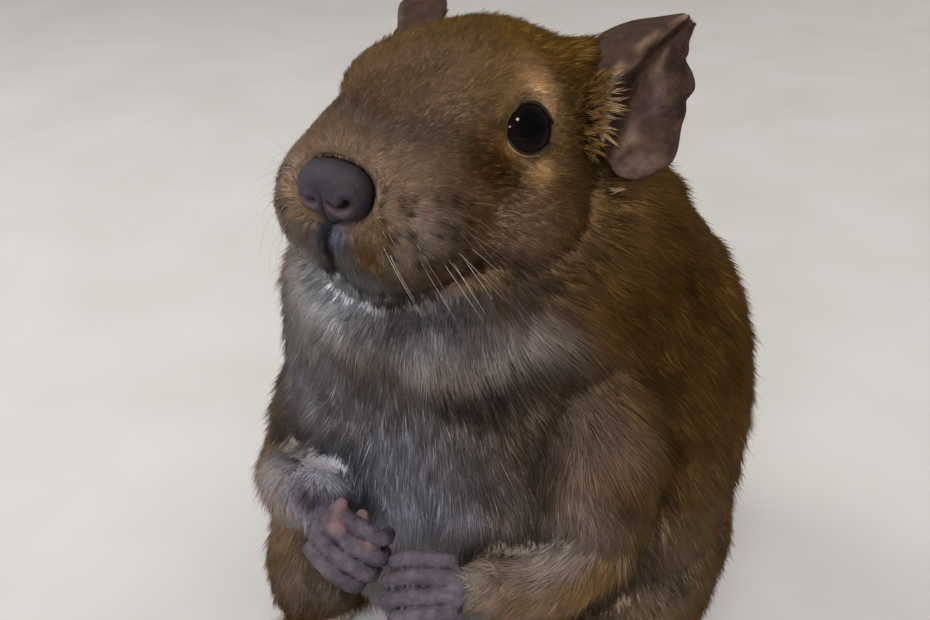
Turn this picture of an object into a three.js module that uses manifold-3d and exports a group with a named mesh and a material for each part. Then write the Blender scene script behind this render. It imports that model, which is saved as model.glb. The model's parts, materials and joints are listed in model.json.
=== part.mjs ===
// A degu sitting up on its haunches, with its forepaws held at the belly and its head turned a
// little to its right. Millimetres, +Z up. The animal faces -Y and its left side is +X. The origin
// is on the floor, on the flat under its rump. Outer surfaces are those of the coat, not the skin.
import * as THREE from "three";
import { mergeVertices } from "three/addons/utils/BufferGeometryUtils.js";
import Module from "manifold-3d";

const wasm = await Module();
wasm.setup();

// Driving sizes
const GAP = 0.3; // clearance between neighbouring pieces
const SIDES = { left: 1, right: -1 };

const TRUNK = {
  centre: [0, 0, 50],
  softness: 16,
  detail: 7,
  rump: { at: [0, 7, 29], size: [35, 35, 31.5] },
  belly: { at: [0, -3, 46], size: [38, 34, 32] },
  chest: { at: [-5, -9, 72], size: [28, 24, 22] },
  back: { at: [4.5, 12, 59], size: [33, 29, 33.5] },
};
const NECK = {
  centre: [-3, -8, 84],
  softness: 8,
  detail: 5,
  nape: { at: [2.5, 3, 86], size: [25.5, 20, 17] },
  throat: { at: [-7, -16, 82], size: [21, 16, 14] },
  ruff: { at: [-3, -9, 79.5], size: [28.5, 26, 9], turn: [8, -5, 0] },
  flow: 6, // how softly the ruff meets the trunk
};
const COLLAR = { at: [-3, -9, 75.5], facing: [0.06, -0.17, 1] }; // the parting under the ruff

const HEAD = {
  at: [-4.4, -10.8, 99.2],
  turn: 9, // degrees to its right
  lift: 7.5, // degrees up
  roll: 2.6, // degrees over to its right
  centre: [0, -5, -1],
  detail: 8,
  softness: 7,
  cranium: { at: [0, 6, 3.6], size: [16.8, 18.5, 16.4] },
  bridge: { at: [0, -10, 4.6], size: [10, 17, 9.5] },
  muzzle: { at: [0, -15.5, -3.5], size: [12.2, 11.5, 9.8] },
  jowl: { at: [9.5, 1.5, -7.5], size: [11.5, 14, 11.5] },
  whiskerPad: { at: [7.8, -19.8, -4.4], size: [7, 6.6, 7.4] },
  chin: { at: [0, -14, -12.5], size: [8, 9, 6] },
  brow: { at: [9.6, -3, 9], size: [6, 8, 5.6] },
  earRoot: { at: [14.3, 14, 8.5], size: [5, 6, 9.5] },
};
const NOSE = {
  at: [0.3, -27.9, 0.3],
  centre: [0, 0.5, 0],
  softness: 2,
  detail: 3,
  top: { at: [0, 0.4, 1.2], size: [4.7, 2.7, 2.8] },
  wing: { at: [3.4, 0.8, -0.4], size: [2.6, 2.7, 3.1] },
  foot: { at: [0, 0.6, -2.4], size: [1.8, 2.1, 2] },
  nostril: { at: [2.8, -1.9, -1.5], size: [1.5, 1.6, 0.6], turn: 24 },
};
const EYE = { at: [13, -3.8, 6.3], radius: 4.6, detail: 2, socket: 0.4 };
const LID = {
  thickness: 1,
  detail: 2,
  look: [0.84, -0.46, 0.28],
  window: 3.45,
  corners: [
    { at: 204, reach: 1.25, width: 26 }, // degrees round the window, towards the ear
    { at: 12, reach: 0.6, width: 30 }, // towards the nose
  ],
  depth: 9,
  points: 18,
};
const MOUTH = {
  width: 0.55,
  sink: 0.1,
  philtrum: [[0, -27, -4], [0, -25, -7]],
  lip: [0, -24, -9.6],
  side: [[3.3, -22, -10.6], [6, -19, -11.2]],
};

const EAR = {
  // Ribs from the foot to the tip: front margin, ridge, hollow, back wall and rear rim
  ribs: [
    [[17, 9.5, 6], [19.8, 8, 5], [21, 10.5, 2], [23.2, 9.8, -0.4], [24.8, 9.2, -1.2]],
    [[15.6, 10.5, 10.2], [19.6, 8.4, 9], [20.4, 13.4, 5], [24.6, 13.6, 1.8], [27.6, 13.8, 2.2]],
    [[14.5, 12, 14], [19.7, 9.3, 11.8], [20, 16, 8.4], [24.6, 17, 6], [27.7, 17.3, 6.5]],
    [[14, 14.8, 17.2], [20.4, 11.5, 14.8], [20.5, 18.6, 11.6], [24.3, 19.4, 10], [27.8, 20, 10.6]],
    [[16.6, 18.8, 19.2], [22.2, 15, 17.8], [21.8, 20.2, 15], [24.2, 20.6, 13.8], [26.7, 20.8, 13.6]],
    [[20.5, 21, 20.1], [23.4, 18.8, 19.7], [23.3, 20.9, 17.9], [24.5, 21.3, 17], [25.4, 21, 16.8]],
    [[24.2, 21.6, 20.9], [24.7, 21.4, 20.8], [24.9, 22, 20.2], [25.2, 22.1, 19.8], [25.6, 22, 19.6]],
  ],
  // Notches of the left ear's rim: share of its height, depth, half their height
  notches: [[0.44, 1.1, 0.05], [0.7, 1.7, 0.06]],
  inwards: [-0.9, 0.1, 0.3],
  rim: 0.75, // share of a rib where a notch starts
  thickness: 1,
  columns: 10,
  rows: 14,
};

const ARM = {
  left: [[18, -12, 72], [23, -20, 60], [25, -23, 48], [21, -32.5, 44], [15, -40, 46]],
  right: [[-17, -12, 72], [-22.5, -17, 58], [-29, -21, 43], [-23, -32, 46], [-13, -39.5, 53]],
  upper: [10, 11.5, 8.2],
  fore: [8.2, 6.8, 4.4],
};
const PAW = {
  palm: [4.9, 4.6, 2.9],
  finger: 1.32,
  taper: [1.05, 1, 0.96, 0.8],
  length: [7, 8.3, 8.3, 7.2],
  spread: [-4.2, -1.4, 1.4, 4.1],
  // A finger's joints: shares of its spread and length, and the height over the palm
  joints: [[0.8, 0.08, 0.9], [1, 0.42, 1.5], [1.02, 0.86, 0], [0.98, 0.84, -3]],
  clawTip: [0.96, 0.64, -4.4],
  claw: [0.55, 0.25],
  pad: [1.15, 1.25],
  left: {
    at: [9.9, -44.8, 47.8],
    ahead: [-0.93, -0.32, -0.2],
    back: [0.1, -0.55, 0.83],
    pads: [[[-3.4, -2.6, -1.6], [-4.6, 0.2, -2.6]]],
  },
  right: {
    at: [-7.3, -44.4, 50],
    ahead: [0.9, -0.03, -0.36],
    back: [0.37, -0.86, 0.36],
    pads: [[[-5.2, 1.6, -0.2], [-2.4, 4.6, 0.7]], [[-4.9, -1.9, 0.1], [-2.2, -0.2, 1.2]]],
  },
};

const THIGH = {
  haunch: { at: [26, 1, 24.6], size: [14.5, 27, 24.5], turn: [14, 0, -6] },
  knee: { at: [30, -20, 19], size: [7.8, 12, 17], turn: [-14, 0, 0] },
  softness: 8,
  detail: 5,
};
const FOOT = {
  heel: [23, 2, 3.2],
  ball: [28.5, -27, 3.2],
  width: [4.6, 4.4, 4.9],
  flat: 0.72,
  instep: 0.6, // how far the middle of the sole is arched
  toes: [-0.2, -0.07, 0.07, 0.21], // radians off the foot's own line
  fan: 17, // distance of the toes' roots from where their lines meet
  splay: 1.1,
  toeLength: [8.2, 10, 9.8, 8],
  toe: [1.95, 1.7, 1.53],
  toeHeight: [2.6, 2.7, 1.5],
  thumb: { along: 0.72, inwards: 3.6, length: 5.4, swing: 0.5 },
  claw: [0.75, 0.3],
  clawHeight: [2, 0.9],
  clawLength: 3.4,
};

const TAIL = {
  path: [
    [0, 31, 8.2], [-3, 44, 5.4], [-9, 57, 4], [-18, 70, 3.5], [-30, 82, 3.2], [-44, 91, 3],
    [-58, 97, 2.8],
  ],
  girth: [6.2, 5, 4.1, 3.6, 3.3, 3, 2.5],
  parts: 3,
  stops: 4, // joints along one of them
};
const BRUSH = {
  core: 1.9,
  length: 25,
  rings: 3,
  perRing: 6,
  lock: 15,
  lockWidth: 1.5,
  lockThickness: 0.62,
  splay: 0.24, // radians off the tail
  arch: 1.8, // radians of a sine that a lock's lift follows
  sweep: 1.4, // sideways bend at its tip
  tip: 0.3,
};

// Finishes
const coat = (name, color, roughness = 0.9) =>
  new THREE.MeshStandardMaterial({ name, color, roughness, metalness: 0 });
const FINISH = {
  back: coat("agouti fur of the back", 0x4b3722),
  chest: coat("grey fur of the chest", 0x6b6663),
  head: coat("brown fur of the head", 0x57432c),
  limb: coat("greyish brown fur of the limbs", 0x5f4f42),
  foot: coat("pale fur of the feet", 0x8a8380),
  paw: coat("bare grey skin of the forepaws", 0x6b6063, 0.7),
  ear: coat("bare dark skin of the ears", 0x4a3d3e, 0.65),
  nose: coat("bare skin of the nose", 0x433a42, 0.45),
  eye: new THREE.MeshPhysicalMaterial({ color: 0x0c0809, roughness: 0.05, clearcoat: 1 }),
  brush: coat("black hair of the tail's brush", 0x1d1714),
};

const vector = (xyz) => new THREE.Vector3(...xyz);
const radians = THREE.MathUtils.degToRad;
const mirrored = ([x, ...rest], side) => [x * side, ...rest];

// A repeatable series of numbers from 0 to 1.
function series(seed) {
  let state = seed;
  return () => {
    state = (state * 1664525 + 1013904223) % 4294967296;
    return state / 4294967296;
  };
}

// A closed geometry as a solid, carried by a matrix that may mirror it.
function solid(geometry, matrix = new THREE.Matrix4()) {
  const bare = geometry.clone().applyMatrix4(matrix);
  for (const name of ["normal", "uv"]) bare.deleteAttribute(name);
  const merged = mergeVertices(bare, 1e-4);
  const triVerts = new Uint32Array(merged.index.array);
  if (matrix.determinant() < 0) triVerts.reverse();
  const vertProperties = merged.attributes.position.array;
  return new wasm.Manifold(new wasm.Mesh({ numProp: 3, vertProperties, triVerts }));
}

// The largest closed surface of a solid, without loose scraps and sealed hollows.
const largest = (made) => made.decompose().reduce((a, b) => (a.volume() > b.volume() ? a : b));
const joined = (pieces) => pieces.reduce((whole, piece) => whole.add(piece));
const without = (whole, pieces) => largest(pieces.reduce((rest, cut) => rest.subtract(cut), whole));

// The distance from a point to an ellipsoid, near enough to blend by.
function lump({ at, size, turn = [0, 0, 0] }) {
  const centre = vector(at);
  const radii = vector(size);
  const upright = new THREE.Quaternion()
    .setFromEuler(new THREE.Euler(...turn.map(radians)))
    .invert();
  return (point) => {
    const p = point.clone().sub(centre).applyQuaternion(upright).divide(radii);
    const share = p.length();
    const steepness = p.divide(radii).length();
    return steepness > 0 ? (share * (share - 1)) / steepness : -Math.min(...size);
  };
}

// Forms that flow into one another over the distance `softness`.
function blend(fields, softness) {
  return (point) =>
    fields.reduce((nearest, field) => {
      const distance = field(point);
      const overlap = Math.max(softness - Math.abs(nearest - distance), 0) / softness;
      return Math.min(nearest, distance) - (overlap * overlap * softness) / 4;
    }, 1e3);
}

// How far from `centre` along `direction` the field's surface lies.
function reach(field, centre, direction, grow = 0) {
  let [inside, outside] = [0, 90];
  for (let step = 0; step < 34; step++) {
    const middle = (inside + outside) / 2;
    const point = direction.clone().multiplyScalar(middle).add(centre);
    if (field(point) < grow) inside = middle;
    else outside = middle;
  }
  return inside;
}

// A ball of triangles drawn out from `centre` until it lies on the field's surface.
function wrapped(field, centre, detail, grow = 0) {
  const ball = new THREE.IcosahedronGeometry(1, detail);
  const place = ball.attributes.position;
  const direction = new THREE.Vector3();
  for (let i = 0; i < place.count; i++) {
    direction.fromBufferAttribute(place, i).normalize();
    const point = direction.clone().multiplyScalar(reach(field, centre, direction, grow));
    place.setXYZ(i, ...point.add(centre));
  }
  return ball;
}

// A round limb: a capsule bent along a smooth curve through its joints, with a girth at each.
function limb(joints, girths, { sides = 12, steps = 8, caps = 3, flat = 1, grow = 0 } = {}) {
  const curve = new THREE.CatmullRomCurve3(joints.map(vector), false, "centripetal");
  const girth = new THREE.CatmullRomCurve3(girths.map((r) => new THREE.Vector3(r, 0, 0)));
  const capsule = new THREE.CapsuleGeometry(1, 2, caps, sides, steps);
  const place = capsule.attributes.position;
  const up = new THREE.Vector3(0, 0, 1);
  for (let i = 0; i < place.count; i++) {
    const along = place.getY(i);
    const t = THREE.MathUtils.clamp((along + 1) / 2, 0, 1);
    const radius = girth.getPoint(t).x + grow;
    const tangent = curve.getTangent(t);
    const across = new THREE.Vector3().crossVectors(tangent, up).normalize();
    const over = new THREE.Vector3().crossVectors(across, tangent);
    const point = curve.getPoint(t).addScaledVector(across, place.getX(i) * radius);
    point.addScaledVector(over, place.getZ(i) * (radius * flat + grow * (1 - flat)));
    if (Math.abs(along) > 1) point.addScaledVector(tangent, (along - Math.sign(along)) * radius);
    place.setXYZ(i, ...point);
  }
  return capsule;
}

// A thin curved sheet of even thickness, cut into triangles alike on both faces.
function sheet(surface, thickness, columns, rows) {
  const grid = new THREE.PlaneGeometry(1, 1, columns, rows);
  const count = grid.attributes.position.count;
  const small = 1e-3;
  const places = new Float32Array(count * 6);
  for (let i = 0; i < count; i++) {
    const [u, v] = [grid.attributes.uv.getX(i), grid.attributes.uv.getY(i)];
    const point = surface(u, v);
    const alongU = surface(u + small, v).sub(surface(u - small, v));
    const alongV = surface(u, v + small).sub(surface(u, v - small));
    const half = alongU.cross(alongV).setLength(thickness / 2);
    places.set([...point.clone().add(half)], i * 3);
    places.set([...point.clone().sub(half)], (count + i) * 3);
  }
  const front = [...grid.index.array];
  const back = front.map((i) => i + count).reverse();
  const wide = columns + 1;
  const top = Array.from({ length: wide }, (_, c) => c);
  const right = Array.from({ length: rows }, (_, r) => (r + 1) * wide + columns);
  const bottom = Array.from({ length: columns }, (_, c) => rows * wide + columns - 1 - c);
  const left = Array.from({ length: rows }, (_, r) => (rows - 1 - r) * wide);
  const border = [...top, ...right, ...bottom, ...left];
  const rim = border.slice(1).flatMap((b, k) => {
    const a = border[k];
    return [a, b, a + count, b, b + count, a + count];
  });
  const made = new THREE.BufferGeometry();
  made.setAttribute("position", new THREE.BufferAttribute(places, 3));
  return made.setIndex([...front, ...back, ...rim]);
}

// What lies beyond the plane through `at`, or before it when `side` is -1.
function beyond(made, { at, facing, side = 1, margin = 0 }) {
  const size = 400;
  const room = new THREE.BoxGeometry(size, size, size).translate(0, 0, size / 2 + margin);
  const turn = new THREE.Quaternion();
  turn.setFromUnitVectors(new THREE.Vector3(0, 0, 1), vector(facing).setLength(side));
  return largest(made.intersect(solid(room.applyQuaternion(turn).translate(...at))));
}

const aboveFloor = (made) => beyond(made, { at: [0, 0, 0], facing: [0, 0, 1] });

// Frames of the groups
const part = new THREE.Group();
const head = new THREE.Group();
head.position.set(...HEAD.at);
head.rotation.set(radians(-HEAD.lift), radians(-HEAD.roll), radians(-HEAD.turn), "ZXY");
part.add(head);
part.updateMatrixWorld(true);

// Puts a solid, made in the part's frame, into its group as a named mesh.
function place(name, made, material, group = part) {
  const { vertProperties, triVerts } = made.getMesh();
  const geometry = new THREE.BufferGeometry();
  geometry.setAttribute("position", new THREE.BufferAttribute(vertProperties, 3));
  geometry.setIndex(new THREE.BufferAttribute(triVerts, 1));
  geometry.applyMatrix4(group.matrixWorld.clone().invert());
  geometry.computeVertexNormals();
  const mesh = new THREE.Mesh(geometry, material);
  mesh.name = name;
  group.add(mesh);
}

// Eye: a ball, of which the lids leave a round window
function eyeSolid(side, grow = 0) {
  const ball = new THREE.IcosahedronGeometry(EYE.radius + grow, EYE.detail);
  return solid(ball.translate(...mirrored(EYE.at, side)), head.matrixWorld);
}

// Nose pad: two wings and a foot under a rounded top, with a slanting nostril in each wing
function noseSolid(grow = 0) {
  const { top, wing, foot } = NOSE;
  const wings = Object.values(SIDES).map((side) => ({ ...wing, at: mirrored(wing.at, side) }));
  const field = blend([top, foot, ...wings].map(lump), NOSE.softness);
  const pad = wrapped(field, vector(NOSE.centre), NOSE.detail, grow);
  return solid(pad.translate(...NOSE.at), head.matrixWorld);
}

function nostrilSolid(side) {
  const { at, size, turn } = NOSE.nostril;
  const pit = new THREE.IcosahedronGeometry(1, 1).scale(...size);
  pit.rotateY(radians(-turn * side)).translate(...mirrored(at, side)).translate(...NOSE.at);
  return solid(pit, head.matrixWorld);
}

// Head: skull, bridge, muzzle and jowls in one soft form, with lids and a mouth line
function headField() {
  const { cranium, bridge, muzzle, chin, jowl, whiskerPad, brow, earRoot } = HEAD;
  const pairs = [jowl, whiskerPad, brow, earRoot].flatMap((one) =>
    Object.values(SIDES).map((side) => ({ ...one, at: mirrored(one.at, side) })),
  );
  return blend([cranium, bridge, muzzle, chin, ...pairs].map(lump), HEAD.softness);
}
const skull = headField();
const skullCentre = vector(HEAD.centre);
const onHead = (at, sink = 0) => {
  const way = vector(at).sub(skullCentre).normalize();
  return way.multiplyScalar(reach(skull, skullCentre, way) - sink).add(skullCentre);
};
const headSolid = (grow = 0) =>
  solid(wrapped(skull, skullCentre, HEAD.detail, grow), head.matrixWorld);

// A shell over the eyeball, and the window that is opened in it
const lidSolid = (side) => {
  const shell = new THREE.IcosahedronGeometry(EYE.radius + LID.thickness, LID.detail);
  return solid(shell.translate(...mirrored(EYE.at, side)), head.matrixWorld);
};

function windowSolid(side) {
  const outline = Array.from({ length: LID.points }, (_, k) => {
    const angle = (k / LID.points) * 360;
    const radius = LID.corners.reduce((sum, { at, reach: out, width }) => {
      const away = Math.abs(((angle - at + 540) % 360) - 180);
      return sum + out * Math.exp(-((away / width) ** 2));
    }, LID.window);
    const turn = radians(angle);
    return new THREE.Vector2(-side * radius * Math.cos(turn), radius * Math.sin(turn));
  });
  const settings = { depth: LID.depth, bevelEnabled: false };
  const opening = new THREE.ExtrudeGeometry(new THREE.Shape(outline), settings);
  const look = vector(mirrored(LID.look, side));
  const facing = new THREE.Matrix4().lookAt(look, new THREE.Vector3(), new THREE.Vector3(0, 0, 1));
  facing.setPosition(vector(mirrored(EYE.at, side)));
  return solid(opening.applyMatrix4(facing), head.matrixWorld);
}

function mouthSolids() {
  const { width, sink, philtrum, lip, side: lips } = MOUTH;
  const halves = Object.values(SIDES).map((side) => [lip, ...lips.map((at) => mirrored(at, side))]);
  return [[...philtrum, lip], ...halves].map((path) => {
    const line = path.map((at) => [...onHead(at, sink)]);
    const groove = limb(line, [width, width, width * 0.8], { sides: 4, steps: 4, caps: 1 });
    return solid(groove, head.matrixWorld);
  });
}

// Ear: a leaf with a ridge before its hollow, drawn smoothly through its ribs, the left one notched
function along(points, share) {
  const end = THREE.MathUtils.clamp(share, 0, 1);
  const curve = new THREE.CatmullRomCurve3(points, false, "catmullrom", 0.5);
  return curve.getPoint(end).addScaledVector(curve.getTangent(end), share - end);
}

function earSurface(side) {
  const ribs = EAR.ribs.map((rib) => rib.map((at) => vector(mirrored(at, side))));
  const notches = side > 0 ? EAR.notches : [];
  const inwards = vector(mirrored(EAR.inwards, side));
  const columns = ribs[0].map((_, k) => ribs.map((rib) => rib[k]));
  return (u, v) => {
    const place = along(columns.map((column) => along(column, v)), u);
    const open = Math.max((u - EAR.rim) / (1 - EAR.rim), 0) ** 2;
    const deep = notches.reduce((sum, [at, depth, half]) => {
      return sum + depth * Math.exp(-(((v - at) / half) ** 2));
    }, 0);
    return place.addScaledVector(inwards, deep * open);
  };
}

function earSolid(name) {
  const leaf = sheet(earSurface(SIDES[name]), EAR.thickness, EAR.columns, EAR.rows);
  return solid(leaf, head.matrixWorld);
}

// Trunk: rump, belly, chest and back, topped by the nape, the throat and a ruff of longer fur
function bodyField() {
  const { rump, belly, chest, back, softness } = TRUNK;
  const { nape, throat, ruff, softness: soft, flow } = NECK;
  const trunk = blend([rump, belly, chest, back].map(lump), softness);
  return blend([trunk, blend([nape, throat, ruff].map(lump), soft)], flow);
}
const body = bodyField();
const trunkSolid = (grow = 0) => solid(wrapped(body, vector(TRUNK.centre), TRUNK.detail, grow));
const neckSolid = (grow = 0) => solid(wrapped(body, vector(NECK.centre), NECK.detail, grow));

// Arm: one bent limb, parted at the elbow
function armSolids(name, grow = 0) {
  const [shoulder, , elbow, , wrist] = ARM[name].map(vector);
  const reaching = wrist.clone().sub(elbow).normalize();
  const facing = elbow.clone().sub(shoulder).normalize().add(reaching);
  const settings = { sides: 10, steps: 4, caps: 2, grow };
  const lengths = [limb(ARM[name].slice(0, 3), ARM.upper, settings)];
  lengths.push(limb(ARM[name].slice(2), ARM.fore, settings));
  const whole = joined(lengths.map((length) => solid(length)));
  const parting = { at: [...elbow], facing: [...facing], margin: GAP / 2 - grow };
  return { upper: beyond(whole, { ...parting, side: -1 }), fore: beyond(whole, parting) };
}

// Forepaw: a small palm with four curled fingers and their claws, and its pads
function pawSolid(name, grow = 0) {
  const { at, ahead: point, back, pads } = PAW[name];
  const ahead = vector(point).normalize();
  const across = new THREE.Vector3().crossVectors(ahead, vector(back)).normalize();
  const over = new THREE.Vector3().crossVectors(across, ahead);
  const frame = new THREE.Matrix4().makeBasis(across, ahead, over).setPosition(vector(at));
  const palm = new THREE.IcosahedronGeometry(1, 1).scale(...PAW.palm.map((size) => size + grow));
  const digits = PAW.spread.flatMap((offset, index) => {
    const path = [...PAW.joints, PAW.clawTip].map(([out, along, height]) =>
      [offset * out, PAW.length[index] * along, height],
    );
    const girth = PAW.taper.map((share) => share * PAW.finger + grow);
    return [
      limb(path.slice(0, -1), girth, { sides: 6, steps: 4, caps: 1 }),
      limb(path.slice(-2), PAW.claw.map((r) => r + grow), { sides: 4, steps: 1, caps: 1 }),
    ];
  });
  const cushions = pads.map((path) =>
    limb(path, PAW.pad.map((r) => r + grow), { sides: 7, steps: 2, caps: 1 }),
  );
  return joined([palm, ...cushions, ...digits].map((piece) => solid(piece, frame)));
}

// Thigh: the round haunch on the flank, and the knee before it
const thighSolid = (side, grow = 0) => {
  const { haunch, knee, softness, detail } = THIGH;
  const forms = [haunch, knee].map(({ at, size, turn: [x, y, z] }) =>
    lump({ at: mirrored(at, side), size, turn: [x, y, z * side] }),
  );
  return solid(wrapped(blend(forms, softness), vector(mirrored(haunch.at, side)), detail, grow));
};

// Hind foot: a long flat sole with four clawed toes and a short inner one
function footSolid(side, grow = 0) {
  const heel = vector(mirrored(FOOT.heel, side));
  const ball = vector(mirrored(FOOT.ball, side));
  const instep = heel.clone().lerp(ball, 0.5).add(new THREE.Vector3(0, 0, FOOT.instep));
  const ahead = ball.clone().sub(heel).setZ(0).normalize();
  const across = new THREE.Vector3(-ahead.y, ahead.x, 0).multiplyScalar(-side);
  const sole = limb([[...heel], [...instep], [...ball]], FOOT.width, {
    sides: 10, steps: 5, flat: FOOT.flat, grow,
  });
  const step = (from, along, sideways, height) =>
    [...from.clone().addScaledVector(ahead, along).addScaledVector(across, sideways).setZ(height)];
  const toe = (root, angle, length) => {
    const at = (share, height) =>
      step(root, Math.cos(angle) * length * share, Math.sin(angle) * length * share, height);
    const joints = FOOT.toeHeight.map((height, index) => at(index / 2, height));
    const [low, lowest] = FOOT.clawHeight;
    const claw = [at(1, low), at(1 + FOOT.clawLength / length, lowest)];
    return [
      limb(joints, FOOT.toe.map((r) => r + grow), { sides: 6, steps: 3, caps: 1 }),
      limb(claw, FOOT.claw.map((r) => r + grow), { sides: 4, steps: 1, caps: 1 }),
    ];
  };
  const [height] = FOOT.toeHeight;
  const toes = FOOT.toes.flatMap((angle, index) => {
    const root = vector(step(ball, 0, Math.sin(angle) * FOOT.fan, height));
    return toe(root, angle * FOOT.splay, FOOT.toeLength[index]);
  });
  const { along, inwards, length, swing } = FOOT.thumb;
  const inner = vector(step(heel.clone().lerp(ball, along), 0, -inwards, height));
  return joined([sole, ...toes, ...toe(inner, -swing, length)].map((piece) => solid(piece)));
}

// Tail: three lengths lying on the floor, ending in a black brush of overlapping locks
const tailCurve = new THREE.CatmullRomCurve3(TAIL.path.map(vector), false, "centripetal");
const tailGirth = new THREE.CatmullRomCurve3(TAIL.girth.map((r) => new THREE.Vector3(r, 0, 0)));

function tailSolid(from, to, grow = 0) {
  const stops = Array.from({ length: TAIL.stops + 1 }, (_, index) =>
    THREE.MathUtils.lerp(from, to, index / TAIL.stops),
  );
  const joints = stops.map((t) => [...tailCurve.getPoint(t)]);
  const girths = stops.map((t) => tailGirth.getPoint(t).x);
  return solid(limb(joints, girths, { sides: 10, steps: 6, caps: 2, grow }));
}

function brushLock(root, ahead, outward, length, roll) {
  const side = new THREE.Vector3().crossVectors(ahead, outward).applyAxisAngle(ahead, roll);
  const { lockWidth: width, lockThickness, splay, arch, sweep, tip } = BRUSH;
  const rise = Math.sin(splay) * length * 0.8;
  const spine = [0, 0.45, 1].map((share) => {
    const point = root.clone().addScaledVector(ahead, length * share);
    point.addScaledVector(outward, Math.sin(share * arch) * rise);
    point.addScaledVector(side, share ** 2 * sweep);
    return [point.x, point.y, Math.max(point.z, lockThickness * 0.8)];
  });
  return limb(spine, [width, width * 0.92, tip], {
    sides: 4, steps: 2, caps: 1, flat: lockThickness / width,
  });
}

function brushSolid() {
  const random = series(11);
  const end = tailCurve.getPoint(1);
  const ahead = tailCurve.getTangent(1).setZ(0).normalize();
  const across = new THREE.Vector3(-ahead.y, ahead.x, 0);
  const core = BRUSH.length * 0.5;
  const axis = [0, core].map((along) => [...end.clone().addScaledVector(ahead, along)]);
  const locks = [];
  for (let ring = 0; ring < BRUSH.rings; ring++) {
    for (let k = 0; k < BRUSH.perRing; k++) {
      const angle = ((k + ring * 0.5 + random() * 0.3) / BRUSH.perRing) * 2 * Math.PI;
      const outward = across.clone().multiplyScalar(Math.cos(angle));
      outward.z = Math.sin(angle);
      const along = (ring / BRUSH.rings) * core + random();
      const root = new THREE.Vector3(...axis[0]).addScaledVector(ahead, along - 1);
      root.addScaledVector(outward, BRUSH.core * 0.45);
      const length = Math.min(BRUSH.lock * (0.85 + 0.3 * random()), BRUSH.length - along);
      locks.push(brushLock(root, ahead, outward, length, (random() - 0.5) * 0.6));
    }
  }
  const heart = limb(axis, [BRUSH.core, BRUSH.core * 0.5], { sides: 8, steps: 3, caps: 2 });
  return joined([heart, ...locks].map((piece) => solid(piece)));
}

// Assembly: each piece is cut clear of the ones that it meets
const both = (make) => Object.values(SIDES).map(make);
const names = Object.keys(SIDES);
const wholeHead = headSolid(GAP);
const wholeBody = joined([trunkSolid(GAP), neckSolid(GAP)]);
const sockets = both((side) => eyeSolid(side, EYE.socket));

place("nose", without(noseSolid(), both(nostrilSolid)), FINISH.nose, head);
const face = joined([headSolid(), ...both(lidSolid)]);
const hollows = [noseSolid(GAP), ...sockets, ...both(windowSolid), ...mouthSolids()];
place("head", without(face, hollows), FINISH.head, head);
for (const name of names) {
  place(`eye_${name}`, eyeSolid(SIDES[name]), FINISH.eye, head);
  place(`ear_${name}`, without(earSolid(name), [wholeHead, wholeBody]), FINISH.ear, head);
}

const feet = both((side) => footSolid(side, GAP));
const paws = names.map((name) => pawSolid(name, GAP));
const arms = names.map((name) => armSolids(name, GAP));
const uppers = arms.map((arm) => arm.upper);
const fores = arms.map((arm) => arm.fore);
const tailRoot = tailSolid(0, 1 / TAIL.parts, GAP);
const collar = { ...COLLAR, margin: GAP / 2 };
place("neck", without(beyond(neckSolid(), collar), [wholeHead]), FINISH.chest);
const trunk = beyond(trunkSolid(), { ...collar, side: -1 });
place("torso", aboveFloor(without(trunk, [wholeHead, tailRoot, ...feet])), FINISH.back);

for (const name of names) {
  const side = SIDES[name];
  const arm = armSolids(name);
  place(`forepaw_${name}`, pawSolid(name), FINISH.paw);
  place(`forearm_${name}`, without(arm.fore, [wholeBody, ...paws]), FINISH.limb);
  place(`upper_arm_${name}`, without(arm.upper, [wholeHead, wholeBody, ...paws]), FINISH.limb);
  place(`hind_foot_${name}`, aboveFloor(footSolid(side)), FINISH.foot);
  const haunch = without(thighSolid(side), [wholeBody, ...feet, ...fores, ...uppers]);
  place(`thigh_${name}`, aboveFloor(haunch), FINISH.back);
}

for (let index = 0; index < TAIL.parts; index++) {
  const [from, to] = [index / TAIL.parts, (index + 1) / TAIL.parts];
  const rest = index > 0 ? [tailSolid(0, from, GAP)] : [];
  place(`tail_${index + 1}`, aboveFloor(without(tailSolid(from, to), rest)), FINISH.back);
}
place("tail_brush", aboveFloor(without(brushSolid(), [tailSolid(0.5, 1, GAP)])), FINISH.brush);

export default part;
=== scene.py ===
"""The looks of a still, life-size degu that sits up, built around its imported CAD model.

Lengths are in millimetres until a mesh is made. The animal faces -Y and its left side is +X.
"""

import json
import math

import bmesh
import bpy
import numpy as np
from bpy.props import FloatProperty, FloatVectorProperty, IntProperty, PointerProperty
from mathutils import Matrix, Vector
from mathutils.bvhtree import BVHTree
from mathutils.kdtree import KDTree

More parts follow.
